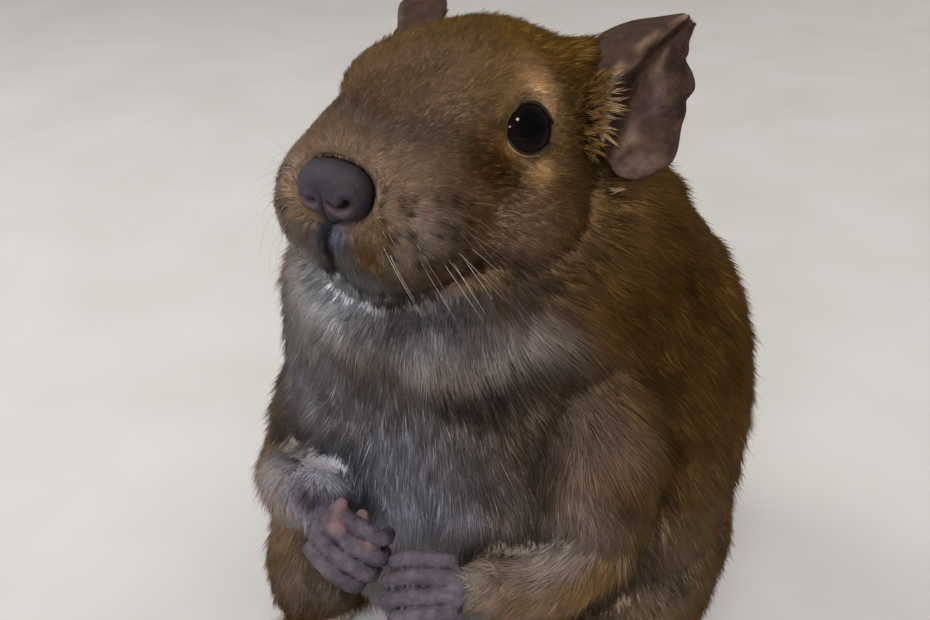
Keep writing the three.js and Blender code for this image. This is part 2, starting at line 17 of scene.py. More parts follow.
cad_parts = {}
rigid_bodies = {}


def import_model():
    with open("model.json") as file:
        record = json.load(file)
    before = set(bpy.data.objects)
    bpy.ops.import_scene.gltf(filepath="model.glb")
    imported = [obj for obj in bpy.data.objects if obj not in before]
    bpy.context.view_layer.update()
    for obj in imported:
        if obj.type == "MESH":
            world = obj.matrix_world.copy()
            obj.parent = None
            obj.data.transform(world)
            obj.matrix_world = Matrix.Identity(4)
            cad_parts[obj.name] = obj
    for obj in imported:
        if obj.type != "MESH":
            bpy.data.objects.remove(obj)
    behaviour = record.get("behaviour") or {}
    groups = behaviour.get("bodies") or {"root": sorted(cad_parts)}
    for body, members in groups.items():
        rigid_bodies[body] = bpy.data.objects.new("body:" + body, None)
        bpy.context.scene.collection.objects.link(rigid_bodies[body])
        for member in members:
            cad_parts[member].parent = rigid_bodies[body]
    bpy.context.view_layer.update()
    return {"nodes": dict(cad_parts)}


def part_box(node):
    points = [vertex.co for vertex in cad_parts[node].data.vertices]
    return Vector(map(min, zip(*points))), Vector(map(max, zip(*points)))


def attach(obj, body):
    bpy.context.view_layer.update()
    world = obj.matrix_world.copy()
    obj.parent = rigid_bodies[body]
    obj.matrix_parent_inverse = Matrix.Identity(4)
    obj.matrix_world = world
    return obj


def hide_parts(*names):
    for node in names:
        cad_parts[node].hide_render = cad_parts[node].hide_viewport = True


bl_info = {
    "name": "Degu sitting up",
    "version": (1, 0, 0),
    "blender": (4, 5, 0),
    "location": "View3D > Sidebar > Degu",
    "description": "Builds the skin, coat, eyes, ears, nose, claws, whiskers and brush of a degu",
    "category": "Object",
}

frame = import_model()
MM = 0.001
SIDES = {"left": 1, "right": -1}
# Side of a tuft's patch in the UV map
TUFT_PATCH = 0.003

# Photograph's frame and where its camera stands round the animal
PHOTO_WIDTH = 930
FOCAL_PIXELS = 1050
AIM = (-6.7, -3.4, 68)
AZIMUTH, ELEVATION, DISTANCE = 27, 30, 178

# The head's own frame: it is turned and rolled to the animal's right, and lifted
HEAD_AT = (-4.4, -10.8, 99.2)
HEAD_TURN, HEAD_LIFT, HEAD_ROLL = -9, -7.5, -2.6

# The nose pad: where it is in the head's frame, and its lumps round that place
NOSE_AT = (0.3, -27.9, 0.3)
NOSE_CENTRE = (0, 0.5, 0)
NOSE_LUMPS = (
    ((0.2, 0.4, 1.2), (4.4, 2.7, 2.8)),
    ((0, 0.6, -2.4), (1.8, 2.1, 2)),
    ((3.3, 0.8, -0.4), (2.5, 2.7, 3.1)),
    ((-3.2, 0.9, -0.4), (2.2, 2.6, 3)),
)
NOSE_SOFTNESS = 2

# The eyeball, how far round its centre the lids are shaped, how far the skin lies behind its front,
# and which way it looks
EYE_RADIUS = 4.6
EYE_REACH = 9
EYE_SUNK = 0.9
EYE_LOOK = (0.84, -0.46, 0.28)
# Radius of the opening between the lids, and its corners: angle, how far out and how wide
WINDOW = 3.35
WINDOW_CORNERS = ((192, 1.7, 20), (12, 0.2, 30))

# The ear's ribs from its foot to its tip, in the head's frame: front margin, ridge, hollow, back
# wall and rear rim
EAR_RIBS = (
    ((17, 9.5, 6), (19.7, 7.4, 4.3), (20.2, 9.2, 1.1), (22.2, 8.9, -0.8), (25, 9.4, -1.1)),
    ((15.6, 10.5, 10.2), (19.6, 8.4, 9), (20.2, 13, 4.6), (24.8, 13.6, 1.4), (28.2, 14.2, 1.4)),
    ((14.5, 12, 14), (19.7, 9.3, 11.8), (20, 16, 8.4), (24.6, 17, 6), (27.7, 17.3, 6.5)),
    ((14, 14.8, 17.2), (20.4, 11.5, 14.8), (20.5, 18.6, 11.6), (24.3, 19.4, 10), (27.8, 20, 10.6)),
    (
        (16.6, 18.8, 19.2), (22.2, 15, 17.8), (21.8, 20.2, 15), (24.2, 20.6, 13.8),
        (26.7, 20.8, 13.6),
    ),
    ((20.5, 21, 20.1), (23.4, 18.8, 19.7), (23.3, 20.9, 17.9), (24.5, 21.3, 17), (25.4, 21, 16.8)),
    (
        (24.2, 21.6, 20.9), (24.7, 21.4, 20.8), (24.9, 22, 20.2), (25.2, 22.1, 19.8),
        (25.6, 22, 19.6),
    ),
)
# The near ear's notches: where along its rear rim, how deep and how wide
EAR_NOTCHES = ((0.44, 1.1, 0.04), (0.7, 1.8, 0.055))
EAR_INWARDS = (-0.9, 0.1, 0.3)
EAR_RIM = 0.75

# The forepaws: their places, the way their fingers point and the way their backs face
PAWS = {
    "left": ((9.9, -44.8, 47.8), (-0.93, -0.32, -0.2), (0.1, -0.55, 0.83)),
    "right": ((-7.3, -44.4, 50), (0.9, -0.03, -0.36), (0.37, -0.86, 0.36)),
}
PALM = (4.7, 4.4, 1.7)
WRISTS = {"left": (15.5, -39.6, 46.2), "right": (-13.4, -39.2, 52.6)}
WRIST_RADII = (2.6, 3.4)
PAD_RADII = (1, 1.15, 1.1)
FINGER = 1.5
FINGER_SWELLS = (0.86, 0.9, 0.84, 0.92, 0.84, 0.9, 0.8, 0.76)
FINGER_LENGTHS = (7, 8.3, 8.3, 7.2)
FINGER_SPREAD = (-4.2, -1.4, 1.4, 4.1)
# Joints of a finger: share of its offset, share of its length and height over the palm
FINGER_JOINTS = (
    (0.88, -0.3, 0.5), (0.95, 0.1, 1.3), (1, 0.46, 1.5), (1.02, 0.86, 0), (0.98, 0.84, -3),
)
CLAW_TIP = (0.96, 0.62, -4.7)
PADS = {
    "left": (((-3.4, -2.6, -1.6), (-4.6, 0.2, -2.6)),),
    "right": (
        ((-5.2, 1.6, -0.2), (-2.4, 4.6, 0.7)),
        ((-4.9, -1.9, 0.1), (-2.2, -0.2, 1.2)),
    ),
}

# The hind feet, whose toes fan out from the ball of the sole
HEEL, BALL = (23, 2, 3.2), (28.5, -27, 3.2)
SOLE_WIDTH = (4.6, 4.4, 4.9)
TOE_ANGLES = (-0.2, -0.07, 0.07, 0.21)
TOE_LENGTHS = (8.2, 10, 9.8, 8)
TOE_HEIGHTS = (2.6, 2.7, 1.5)
TOE_RADII = (1.6, 1.728, 1.408, 1.632, 1.344)
TOE_FAN, TOE_SPLAY = 17, 1.1
CLAW_REACH, CLAW_HEIGHT = 3.6, 0.8
# The inner toe: its share of the sole, its offset, how far it points ahead and inwards, its length
INNER_TOE = (0.72, 3.6, 0.88, 0.48, 5.4)

TAIL_PATH = (
    (0, 31, 8.2), (-3, 44, 5.4), (-9, 57, 4), (-18, 70, 3.5), (-30, 82, 3.2), (-44, 91, 3),
    (-58, 97, 2.8),
)

FLESH = (
    "head", "neck", "torso", "upper_arm_left", "upper_arm_right", "forearm_left", "forearm_right",
    "thigh_left", "thigh_right", "tail_1", "tail_2", "tail_3",
)
GROUP_OF = {
    "head": "head", "eye_left": "head", "eye_right": "head", "nose": "head",
    "forearm_left": "forearm_left", "forearm_right": "forearm_right",
    "forepaw_left": "paw_left", "forepaw_right": "paw_right",
    "hind_foot_left": "foot", "hind_foot_right": "foot",
    "tail_1": "tail", "tail_2": "tail", "tail_3": "tail",
}
GROUPS = ("head", "trunk", "forearm_left", "forearm_right", "paw_left", "paw_right", "foot", "tail")

# The lie of the coat: a place, the way the hair points there, and its length. On the head they are
# in the head's frame, and each with a width is on both sides.
LIE_HEAD = (
    ((0, -25, 6), (0, 1, 0.35), 1.3),
    ((0, -16, 13), (0, 1, 0.3), 1.9),
    ((0, -4, 19), (0, 1, 0.1), 2.5),
    ((0, 8, 21), (0, 1, -0.15), 3.4),
    ((0, 20, 17), (0, 0.8, -0.7), 5),
    ((7, -25, 3), (0.5, 0.9, 0.25), 2),
    ((11, -22, -4), (0.55, 0.9, -0.35), 2.7),
    ((6, -26, -9), (0.5, 0.5, -0.7), 1.7),
    ((12, -14, 5), (0.3, 1, 0.15), 2.1),
    ((10, -8, 13), (0.3, 1, 0.2), 2.2),
    ((14, -1, 14), (0.2, 1, 0), 2.5),
    ((16, -10, 0), (0.3, 1, -0.25), 2),
    ((18, -6, -8), (0.2, 1, -0.55), 3.2),
    ((20, 2, -6), (0.1, 1, -0.6), 4.2),
    ((18, 5, 6), (0.25, 0.9, 0.1), 2.6),
    ((17, 9, 13), (0.2, 0.9, 0.3), 2.6),
    ((12, 16, 16), (0.1, 1, -0.3), 4),
    ((14, 20, 2), (0.1, 0.9, -0.8), 5),
    ((0, -23, -13.5), (0, 0.2, -1), 3.6),
    ((5, -21, -13), (0.3, 0.3, -0.9), 4),
    ((0, -19, -17), (0, 0.2, -1), 5.6),
    ((8, -12, -15), (0.35, 0.4, -0.9), 5.6),
    ((0, -6, -18), (0, 0.4, -1), 5),
    ((21, 6, -9), (0.2, 0.9, -0.8), 5.4),
    ((13, 6, -15), (0.3, 0.8, -0.8), 5.4),
)
LIE_TRUNK = (
    ((-8, -35, 87.5), (-0.1, 0, -1), 3),
    ((-2, -34, 86), (0.15, 0, -1), 3.4),
    ((-14, -31, 87), (-0.5, 0, -1), 3.4),
    ((6, -30, 86), (0.4, 0.1, -1), 4.2),
    ((-6, -32, 80), (-0.05, -0.25, -1), 5.5),
    ((-20, -24, 82), (-0.7, -0.2, -0.8), 5),
    ((10, -30, 80), (0.35, -0.15, -0.9), 6.5),
    ((18, -24, 82), (0.75, 0.1, -0.7), 7),
    ((26, -10, 84), (0.6, 0.4, -0.7), 6.5),
    ((-28, -8, 84), (-0.5, 0.3, -0.8), 6),
    ((24, 8, 92), (0.35, 0.7, -0.8), 5.5),
    ((-22, 8, 92), (-0.35, 0.7, -0.8), 5.5),
    ((-2, 22, 90), (0, 0.8, -0.8), 5.5),
    ((-4, -36, 66), (0.1, -0.1, -1), 6.5),
    ((14, -33, 64), (0.5, -0.1, -0.9), 6.5),
    ((-22, -28, 62), (-0.6, -0.1, -0.8), 6),
    ((26, -24, 68), (0.45, 0, -0.9), 6.5),
    ((0, -38, 46), (0, 0, -1), 5.5),
    ((0, -33, 22), (0, 0.3, -1), 5.5),
    ((34, -14, 56), (0.3, 0.25, -1), 6),
    ((-34, -14, 56), (-0.3, 0.25, -1), 6),
    ((38, 8, 50), (0.1, 0.35, -1), 6),
    ((-36, 8, 50), (-0.1, 0.35, -1), 6),
    ((33, 20, 70), (0.1, 0.35, -1), 6),
    ((-30, 20, 70), (-0.1, 0.35, -1), 6),
    ((2, 40, 62), (0, 0.15, -1), 6.5),
    ((0, 41, 30), (0, 0.35, -1), 6.5),
    ((40, 4, 26), (0, 0.3, -1), 5.5),
    ((-40, 4, 26), (0, 0.3, -1), 5.5),
    ((32, -26, 18), (0.1, -0.3, -1), 4),
    ((-32, -26, 18), (-0.1, -0.3, -1), 4),
    ((0, 10, 0), (0, 1, -0.1), 4),
)
LIE = {
    "head": LIE_HEAD,
    "trunk": LIE_TRUNK,
    "forearm_left": (
        ((26, -24, 47), (-0.25, -0.7, -0.7), 5.5),
        ((20, -34, 46), (-0.5, -0.7, -0.5), 4.2),
        ((13, -41, 47), (-0.75, -0.5, -0.3), 2.2),
    ),
    "forearm_right": (
        ((-29, -22, 44), (0.2, -0.6, -0.8), 5.5),
        ((-23, -32, 47), (0.4, -0.6, -0.7), 5),
        ((-13, -40, 52), (0.6, -0.6, -0.5), 3),
    ),
    "paw_left": (((10, -45, 48), PAWS["left"][1], 0.8),),
    "paw_right": (((-7, -44, 50), PAWS["right"][1], 0.8),),
    "foot": (
        ((24, -6, 4), (0.18, -1, -0.1), 2.4),
        ((29, -32, 3), (0.2, -1, -0.2), 1.2),
        ((-24, -6, 4), (-0.18, -1, -0.1), 2.4),
        ((-29, -32, 3), (-0.2, -1, -0.2), 1.2),
    ),
}

# How steeply the hair rises from the skin
LIFT = {
    "head": 0.3, "trunk": 0.34, "forearm_left": 0.32, "forearm_right": 0.32,
    "paw_left": 0.2, "paw_right": 0.2, "foot": 0.25, "tail": 0.25,
}
# How far the skin lies under the coat's tips, as a share of the height that the hair rises
SINK_SHARE = 0.72

# Markings: colour, place, reach along each axis and strength, painted in this order. Those on the
# head are in its frame and on both sides, the others are where the body has them.
MARKS_HEAD = (
    ("crown", (0, 8, 21), (17, 12, 9), 1),
    ("forehead", (0, -9, 15), (11, 9, 8), 0.9),
    ("muzzle", (7, -20, 4), (9, 9, 8), 0.9),
    ("cheek", (18, -8, -7), (8, 9, 8), 1),
    ("jowl", (21, 5, -5), (8, 9, 9), 0.9),
    ("temple", (18.5, 6.5, 8), (3, 3, 7), 0.9),
    ("under_eye", (14.6, -10, 3.6), (3.4, 4.4, 4), 0.95),
    # The brow's pale patch, made paler still as painted light from above
    ("brow", (15.8, -1.9, 12.8), (3.6, 4.4, 5), 1),
    ("lid_patch", (17.4, -3.4, 1.2), (2.2, 2.6, 1.6), 0.95),
    # Painted shade on the top of the bridge, which the lights from above catch
    ("bridge", (0, -24, 10), (7, 8, 4.5), 0.8),
    ("corner", (14.3, -9.8, 8.1), (1.2, 1.5, 0.9), 0.9),
    ("pad", (11, -23, -4), (5, 4, 5), 0.9),
    ("lip", (0, -27.5, -6.5), (3, 4, 3.6), 0.9),
    ("chin", (-0.1, -23, -14), (6, 6, 4.5), 0.9),
)
MARKS_BODY = (
    ("jowl", (24, -4, 92), (10, 14, 8), 0.8),
    ("throat", (-14, -32, 83), (13, 12, 9), 1),
    ("chest", (4, -32, 82), (8, 8, 6), 0.9),
    # Painted shade in the crease of the throat
    ("fold", (0, -32.5, 81.5), (10, 8, 5), 0.75),
    ("ruff", (13, -30, 79.5), (11, 8, 4.5), 0.9),
    ("chest", (-2, -36, 64), (24, 18, 14), 1),
    ("breast", (-22, -28, 64), (12, 12, 12), 0.9),
    ("belly", (-3, -38, 50), (18, 14, 12), 1),
    ("belly", (0, -33, 22), (22, 14, 16), 0.9),
    ("shoulder", (23, -27, 66), (9, 9, 12), 0.9),
    ("warm", (27, -17, 81), (6, 7, 4), 0.8),
    ("nape", (31, 2, 86), (10, 16, 12), 0.85),
    # Painted shade in the crease between the chest and the left arm, and in the hollow above the
    # right paw
    ("fold", (12.5, -35, 57), (4, 5, 3), 0.8),
    ("fold", (-12, -43, 54), (5.5, 4, 2.4), 0.95),
    ("throat", (2, -34, 75), (4, 5, 7), 0.25),
    ("band", (6, -33, 75), (5, 5, 2), 0.7),
    ("band", (13, -31, 77.6), (5, 5, 2), 0.8),
    ("band", (20, -27.5, 81), (5, 5, 2), 0.7),
    # Painted shade in the creases under the ruff
    ("fold", (7, -33, 71), (5, 5, 1.8), 0.8),
    ("fold", (13, -31.5, 73.4), (5, 5, 1.8), 0.9),
    ("fold", (19, -29, 76.6), (5, 5, 1.7), 0.8),
    ("sleeve", (20, -34, 52), (9, 8, 5), 0.8),
    ("forearm", (15, -39, 47), (5, 6, 6), 0.95),
    ("white", (9.5, -37, 52.5), (3.5, 3.5, 2.4), 0.9),
    ("hip", (34, -14, 34), (16, 18, 14), 0.9),
    ("hip", (-34, -14, 30), (16, 18, 16), 0.9),
)
# Painted shadow in the hollow between the right forearm's fur and its paw
MARKS_PAW = (("fold", (-10.5, -43.5, 53.4), (5, 4, 1.9), 0.95),)
# Rows of whisker roots on the muzzle, in the head's frame
FOLLICLES = tuple(
    (
        8.5 + 1.1 * column + 0.5 * math.sin(5 * row + 3 * column),
        -27 + 2.1 * column + 0.6 * math.sin(7 * row + 2 * column),
        1.6 - 2 * row - 0.5 * column + 0.5 * math.sin(3 * row + 5 * column),
    )
    for row in range(5)
    for column in range(6)
)
# The cleft from the nose to the mouth, and the mouth's line, as seen from the skull's centre
SKULL_CENTRE = (0, -5, -1)
SKULL_REACH = 30
# A gap that stands for no marking at all
NOWHERE_NEAR = 99
MOUTH_LINES = (
    ((-0.6, -27, -3.6), (-1.7, -26.6, -8), (-2, -24.8, -11.6)),
    (
        (-9, -18.5, -13), (-5.4, -22.6, -13.2), (-2, -24.8, -11.9), (-0.8, -23.8, -14),
        (1.6, -22.4, -15.4), (5, -21.8, -15), (9.5, -18, -13.6),
    ),
)

# The fold colour is painted shade, for the creases where shade falls
COLOURS = {
    "back": "805F2D", "crown": "8A6829", "forehead": "91775A", "muzzle": "A18975",
    "cheek": "A88770", "jowl": "8B6B42", "temple": "75572E", "under_eye": "906334",
    "brow": "E2BA8B", "lid_patch": "E3C089", "pad": "C2AE9F", "lip": "6A778C", "chin": "626066",
    "throat": "F7F7F7", "chest": "7A716E", "breast": "B6B6BB", "nape": "6D4D18", "band": "C0B0A4",
    "bridge": "5E4E42", "corner": "241A16", "ruff": "8C8584", "belly": "BFC0CA",
    "shoulder": "897261", "warm": "6E4B0E", "fold": "423B40", "sleeve": "B5A398",
    "forearm": "836A49", "white": "D8D8E0", "hip": "A48C73", "paw": "433C3F", "foot": "7A706A",
    "tail": "4A3826", "ear_inside": "271812", "ear_back": "2E1F16", "ear_rim": "614D3D",
    "ear_glint": "3B2B2B", "nose": "181217", "nostril": "6A4448", "pad_pink": "5F4948",
    "lid_dark": "1D1513", "lid_pale": "967D5D", "claw": "5A4E46", "whisker": "DAD4CC",
    "fringe": "A78E6B", "brush": "1D1714",
}


def linear(hex_colour):
    """Linear red, green and blue of an sRGB hex colour."""
    parts = [int(hex_colour[i : i + 2], 16) / 255 for i in (0, 2, 4)]
    return tuple(p / 12.92 if p <= 0.04045 else ((p + 0.055) / 1.055) ** 2.4 for p in parts)


def colour_property(name):
    """A colour of the settings, named after its place on the animal."""
    words = name.replace("_", " ")
    return FloatVectorProperty(
        name=words.capitalize(), description=f"Colour of the {words}", subtype="COLOR",
        size=3, min=0, max=1, default=linear(COLOURS[name]),
    )


def length_property(name, description, millimetres):
    """A length of the settings, kept in metres as Blender's units are."""
    return FloatProperty(
        name=name, description=description, default=millimetres * MM, unit="LENGTH", min=0,
        precision=5,
    )


class DeguColours(bpy.types.PropertyGroup):
    """Colours of the coat and of the bare skin."""

    __annotations__ = {name: colour_property(name) for name in COLOURS}


class DeguSizes(bpy.types.PropertyGroup):
    """Sizes of the skin and the coat."""

    grid: length_property("Skin grid", "Side of the skin's faces", 0.9)
    paw_grid: length_property("Paw grid", "Side of the faces of paws and feet", 0.27)
    hair_base: length_property("Hair base", "Thickness of the shortest tufts", 0.095)
    hair_share: FloatProperty(
        name="Hair share", description="Thickness gained with a tuft's length", default=0.015,
        subtype="FACTOR", min=0, max=1,
    )
    head_tufts: IntProperty(name="Head", description="Number of tufts on the head", default=102000)
    body_tufts: IntProperty(name="Body", description="Number of tufts on the trunk", default=228000)
    limb_tufts: IntProperty(name="Limbs", description="Number of other tufts", default=30000)
    clump: length_property("Clump", "Distance between clumps of tufts", 2.4)
    gather: FloatProperty(
        name="Gather", description="How far tips are drawn together", default=0.6, subtype="FACTOR",
    )
    seed: IntProperty(name="Seed", description="Seed of every random draw", default=7)


class DeguSettings(bpy.types.PropertyGroup):
    """Everything that a user may change."""

    colours: PointerProperty(type=DeguColours)
    sizes: PointerProperty(type=DeguSizes)


def colours():
    """The settings' colours by name, as arrays."""
    chosen = bpy.context.scene.degu.colours
    return {name: np.array(getattr(chosen, name)) for name in COLOURS}


# Frames


def head_turn():
    """The head's turn from straight ahead: rolled, then lifted, then turned aside."""
    whole = Matrix.Identity(3)
    for angle, axis in ((HEAD_TURN, "Z"), (HEAD_LIFT, "X"), (HEAD_ROLL, "Y")):
        whole = whole @ Matrix.Rotation(math.radians(angle), 3, axis)
    return np.array(whole)


HEAD_AXES = head_turn()


def from_head(points):
    """Places given in the head's frame, in the animal's."""
    return np.asarray(points, float) @ HEAD_AXES.T + HEAD_AT


def to_head(points):
    """Places given in the animal's frame, in the head's."""
    return (np.asarray(points, float) - HEAD_AT) @ HEAD_AXES


def unit(vectors):
    """Vectors of length one."""
    vectors = np.asarray(vectors, float)
    return vectors / np.maximum(np.linalg.norm(vectors, axis=-1, keepdims=True), 1e-9)


def mirrored(point, side):
    """A place on the left side, or its like on the right."""
    return (point[0] * side, point[1], point[2])


def eye_frame(side):
    """The eye's centre, and the across, up and outward axes of its window."""
    low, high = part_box(f"eye_{side}")
    centre = np.array((low + high) / 2) / MM
    look = unit(mirrored(EYE_LOOK, SIDES[side]))
    across = unit(np.cross((0, 0, 1), look))
    upward = np.cross(look, across)
    return centre, np.array([across, upward, look]) @ HEAD_AXES.T


def window_radius(angles):
    """Radius of the opening between the lids at these angles, in degrees."""
    radius = np.full(np.shape(angles), float(WINDOW))
    for at, out, width in WINDOW_CORNERS:
        away = np.abs((np.asarray(angles) - at + 540) % 360 - 180)
        radius = radius + out * np.exp(-((away / width) ** 2))
    return radius


def eye_polar(points, side):
    """Distance from the eye's axis, angle round it and height over its centre."""
    centre, axes = eye_frame(side)
    x, y, z = ((points - centre) @ axes.T).T
    return np.hypot(x, y), np.degrees(np.arctan2(y, -SIDES[side] * x)), z


# Fields and random draws


def blended(lumps, softness):
    """A field of ellipsoids that flow into one another."""

    def field(points):
        nearest = np.full(len(points), 1e3)
        for at, size in lumps:
            p = (points - at) / size
            share = np.linalg.norm(p, axis=1)
            steepness = np.linalg.norm(p / size, axis=1)
            distance = share * (share - 1) / np.maximum(steepness, 1e-9)
            overlap = np.maximum(softness - np.abs(nearest - distance), 0) / softness
            nearest = np.minimum(nearest, distance) - overlap**2 * softness / 4
        return nearest

    return field


def reached(field, centre, ways, furthest):
    """Where rays from centre leave the field's surface."""
    inside, outside = np.zeros(len(ways)), np.full(len(ways), float(furthest))
    for _ in range(30):
        middle = (inside + outside) / 2
        within = field(centre + ways * middle[:, None]) < 0
        inside, outside = np.where(within, middle, inside), np.where(within, outside, middle)
    return centre + ways * inside[:, None]


def lattice(cells, seed):
    """A repeatable number from -1 to 1 for each whole-numbered cell."""
    mixed = cells[..., 0] * 73856093 ^ cells[..., 1] * 19349663 ^ cells[..., 2] * 83492791
    mixed = (mixed ^ (seed * 2654435761)) & 0xFFFFFFFF
    mixed = ((mixed ^ (mixed >> 15)) * 2246822519) & 0xFFFFFFFF
    mixed = ((mixed ^ (mixed >> 13)) * 3266489917) & 0xFFFFFFFF
    return (mixed & 0xFFFF) / 32767.5 - 1


def drift(points, scale, seed):
    """Smooth noise from -1 to 1 over that distance."""
    place = points / scale
    cell = np.floor(place).astype(np.int64)
    share = place - cell
    share = share * share * (3 - 2 * share)
    total = np.zeros(len(points))
    for corner in np.ndindex(2, 2, 2):
        weight = np.prod(np.where(corner, share, 1 - share), axis=1)
        total += weight * lattice(cell + corner, seed)
    return total


def smooth_step(low, high, values):
    """Rises smoothly from 0 at low to 1 at high."""
    share = np.clip((values - low) / (high - low), 0, 1)
    return share * share * (3 - 2 * share)


def along_curve(points, count):
    """Evenly spaced points on a smooth curve through these, with the way it runs."""
    points = np.asarray(points, float)
    padded = np.vstack([2 * points[0] - points[1], points, 2 * points[-1] - points[-2]])
    stops = np.linspace(0, len(points) - 1 - 1e-6, count)
    index, t = stops.astype(int), (stops % 1)[:, None]
    a, b, c, d = (padded[index + k] for k in range(4))
    place = 0.5 * (
        2 * b + (c - a) * t + (2 * a - 5 * b + 4 * c - d) * t**2 + (3 * b - a - 3 * c + d) * t**3
    )
    return place, unit(np.gradient(place, axis=0))


# Meshes


def numbers(items, name, width, kind=np.float32):
    """One property of every item, as an array."""
    found = np.empty(len(items) * width, kind)
    items.foreach_get(name, found)
    return found.reshape(-1, width) if width > 1 else found


def places(mesh):
    """Vertices in millimetres."""
    return numbers(mesh.vertices, "co", 3).astype(float) / MM


def set_places(mesh, points):
    """Moves the vertices to these places, in millimetres."""
    mesh.vertices.foreach_set("co", (points * MM).astype(np.float32).ravel())
    mesh.update()


def outward(mesh):
    """Each vertex's normal."""
    return numbers(mesh.vertex_normals, "vector", 3).astype(float)


def mark(mesh, name, kind, values):
    """Keeps the vertices' values on the mesh as an attribute."""
    key = {"FLOAT": "value", "FLOAT_VECTOR": "vector", "FLOAT_COLOR": "color", "INT": "value"}[kind]
    if kind == "FLOAT_COLOR" and values.shape[-1] == 3:
        values = np.hstack([values, np.ones((len(values), 1))])
    kept = mesh.attributes.new(name, kind, "POINT")
    kept.data.foreach_set(key, values.astype(np.int32 if kind == "INT" else np.float32).ravel())


def marked(mesh, name, width):
    """An attribute's values."""
    key = {1: "value", 3: "vector", 4: "color"}[width]
    return numbers(mesh.attributes[name].data, key, width)


def marked_groups(skin):
    """Each vertex's group, as its place in GROUPS."""
    return numbers(skin.attributes["group"].data, "value", 1, np.int32)


def blend(colour, aim, share):
    """The colour, drawn towards another by each vertex's share."""
    return colour + (aim - colour) * np.asarray(share)[:, None]


def relaxed(values, edges, rounds):
    """Values of the vertices, drawn halfway to the mean of their neighbours in each round."""
    a, b = edges.T
    count = len(values)
    degree = np.bincount(a, minlength=count) + np.bincount(b, minlength=count)
    degree = np.maximum(degree, 1)[:, None]
    values = values.reshape(count, -1).astype(float)
    for _ in range(rounds):
        total = np.empty_like(values)
        for k in range(values.shape[1]):
            total[:, k] = np.bincount(a, values[b, k], count) + np.bincount(b, values[a, k], count)
        values = values + (total / degree - values) * 0.5
    return values


def new_piece(mesh, name, material, replaces=()):
    """Puts a finished mesh in the scene as a named piece of the animal."""
    piece = bpy.data.objects.new(name, mesh)
    bpy.context.scene.collection.objects.link(piece)
    mesh.shade_smooth()
    mesh.materials.clear()
    mesh.materials.append(material)
    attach(piece, "root")
    if replaces:
        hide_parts(*replaces)
    return piece


def mesh_from(bm, name):
    """A mesh from a bmesh, which is freed."""
    mesh = bpy.data.meshes.new(name)
    bm.to_mesh(mesh)
    bm.free()
    return mesh


def fused(mesh, grid):
    """One skin round everything in the mesh, with faces that wide in metres."""
    carrier = bpy.data.objects.new("fusing", mesh)
    bpy.context.scene.collection.objects.link(carrier)
    remesh = carrier.modifiers.new("fuse", "REMESH")
    remesh.mode = "VOXEL"
    remesh.voxel_size = grid
    made = bpy.data.meshes.new_from_object(
        carrier.evaluated_get(bpy.context.evaluated_depsgraph_get())
    )
    bpy.data.objects.remove(carrier)
    bpy.data.meshes.remove(mesh)
    return made


def largest_island(mesh):
    """Drops all but the largest connected part of the mesh."""
    bm = bmesh.new()
    bm.from_mesh(mesh)
    left, best = set(bm.verts), []
    while left:
        found, todo = [], [left.pop()]
        while todo:
            vert = todo.pop()
            found.append(vert)
            for edge in vert.link_edges:
                other = edge.other_vert(vert)
                if other in left:
                    left.remove(other)
                    todo.append(other)
        if len(found) > len(best):
            best = found
    kept = set(best)
    bmesh.ops.delete(bm, geom=[v for v in bm.verts if v not in kept], context="VERTS")
    bm.to_mesh(mesh)
    bm.free()


def mesh_edges(mesh):
    """The two vertices of each edge."""
    return numbers(mesh.edges, "vertices", 2, np.int32)


def leaf(name, columns, rows, surface, thickness):
    """A closed sheet over shares u and v, as thick as that in its middle and round at its rim."""
    rim_faces = 3
    layers = []
    for sign in (1, -1):
        bm = bmesh.new()
        bmesh.ops.create_grid(bm, x_segments=columns, y_segments=rows, size=1)
        layer = mesh_from(bm, name)
        shares = (places(layer)[:, :2] * MM + 1) / 2
        u, v = shares.T
        middle = surface(u, v)
        set_places(layer, middle)
        edge = np.minimum(np.minimum(u, 1 - u) * columns, np.minimum(v, 1 - v) * rows)
        round_off = np.sqrt(1 - (1 - np.clip(edge / rim_faces, 0, 1)) ** 2)
        set_places(layer, middle + outward(layer) * (sign * thickness / 2 * round_off)[:, None])
        mark(layer, "share_u", "FLOAT", u)
        mark(layer, "share_v", "FLOAT", v)
        layers.append(layer)
    bm = bmesh.new()
    bm.from_mesh(layers[1])
    bmesh.ops.reverse_faces(bm, faces=bm.faces)
    bm.from_mesh(layers[0])
    bmesh.ops.remove_doubles(bm, verts=bm.verts, dist=1e-7)
    bm.to_mesh(layers[0])
    bm.free()
    bpy.data.meshes.remove(layers[1])
    return layers[0]


def beads(bm, path, radii, flat=1, spacing=0.35):
    """A string of overlapping balls along a curve, to be fused into a limb."""
    length = np.linalg.norm(np.diff(np.asarray(path, float), axis=0), axis=1).sum()
    count = max(3, int(length / spacing))
    curve, _ = along_curve(path, count)
    sizes = np.interp(np.linspace(0, 1, count), np.linspace(0, 1, len(radii)), radii)
    for point, size in zip(curve, sizes, strict=True):
        place = Matrix.Translation(Vector(point) * MM)
        ball = bmesh.ops.create_icosphere(bm, subdivisions=2, radius=size * MM, matrix=place)
        if flat != 1:
            for vert in ball["verts"]:
                vert.co.z = (vert.co.z - point[2] * MM) * flat + point[2] * MM


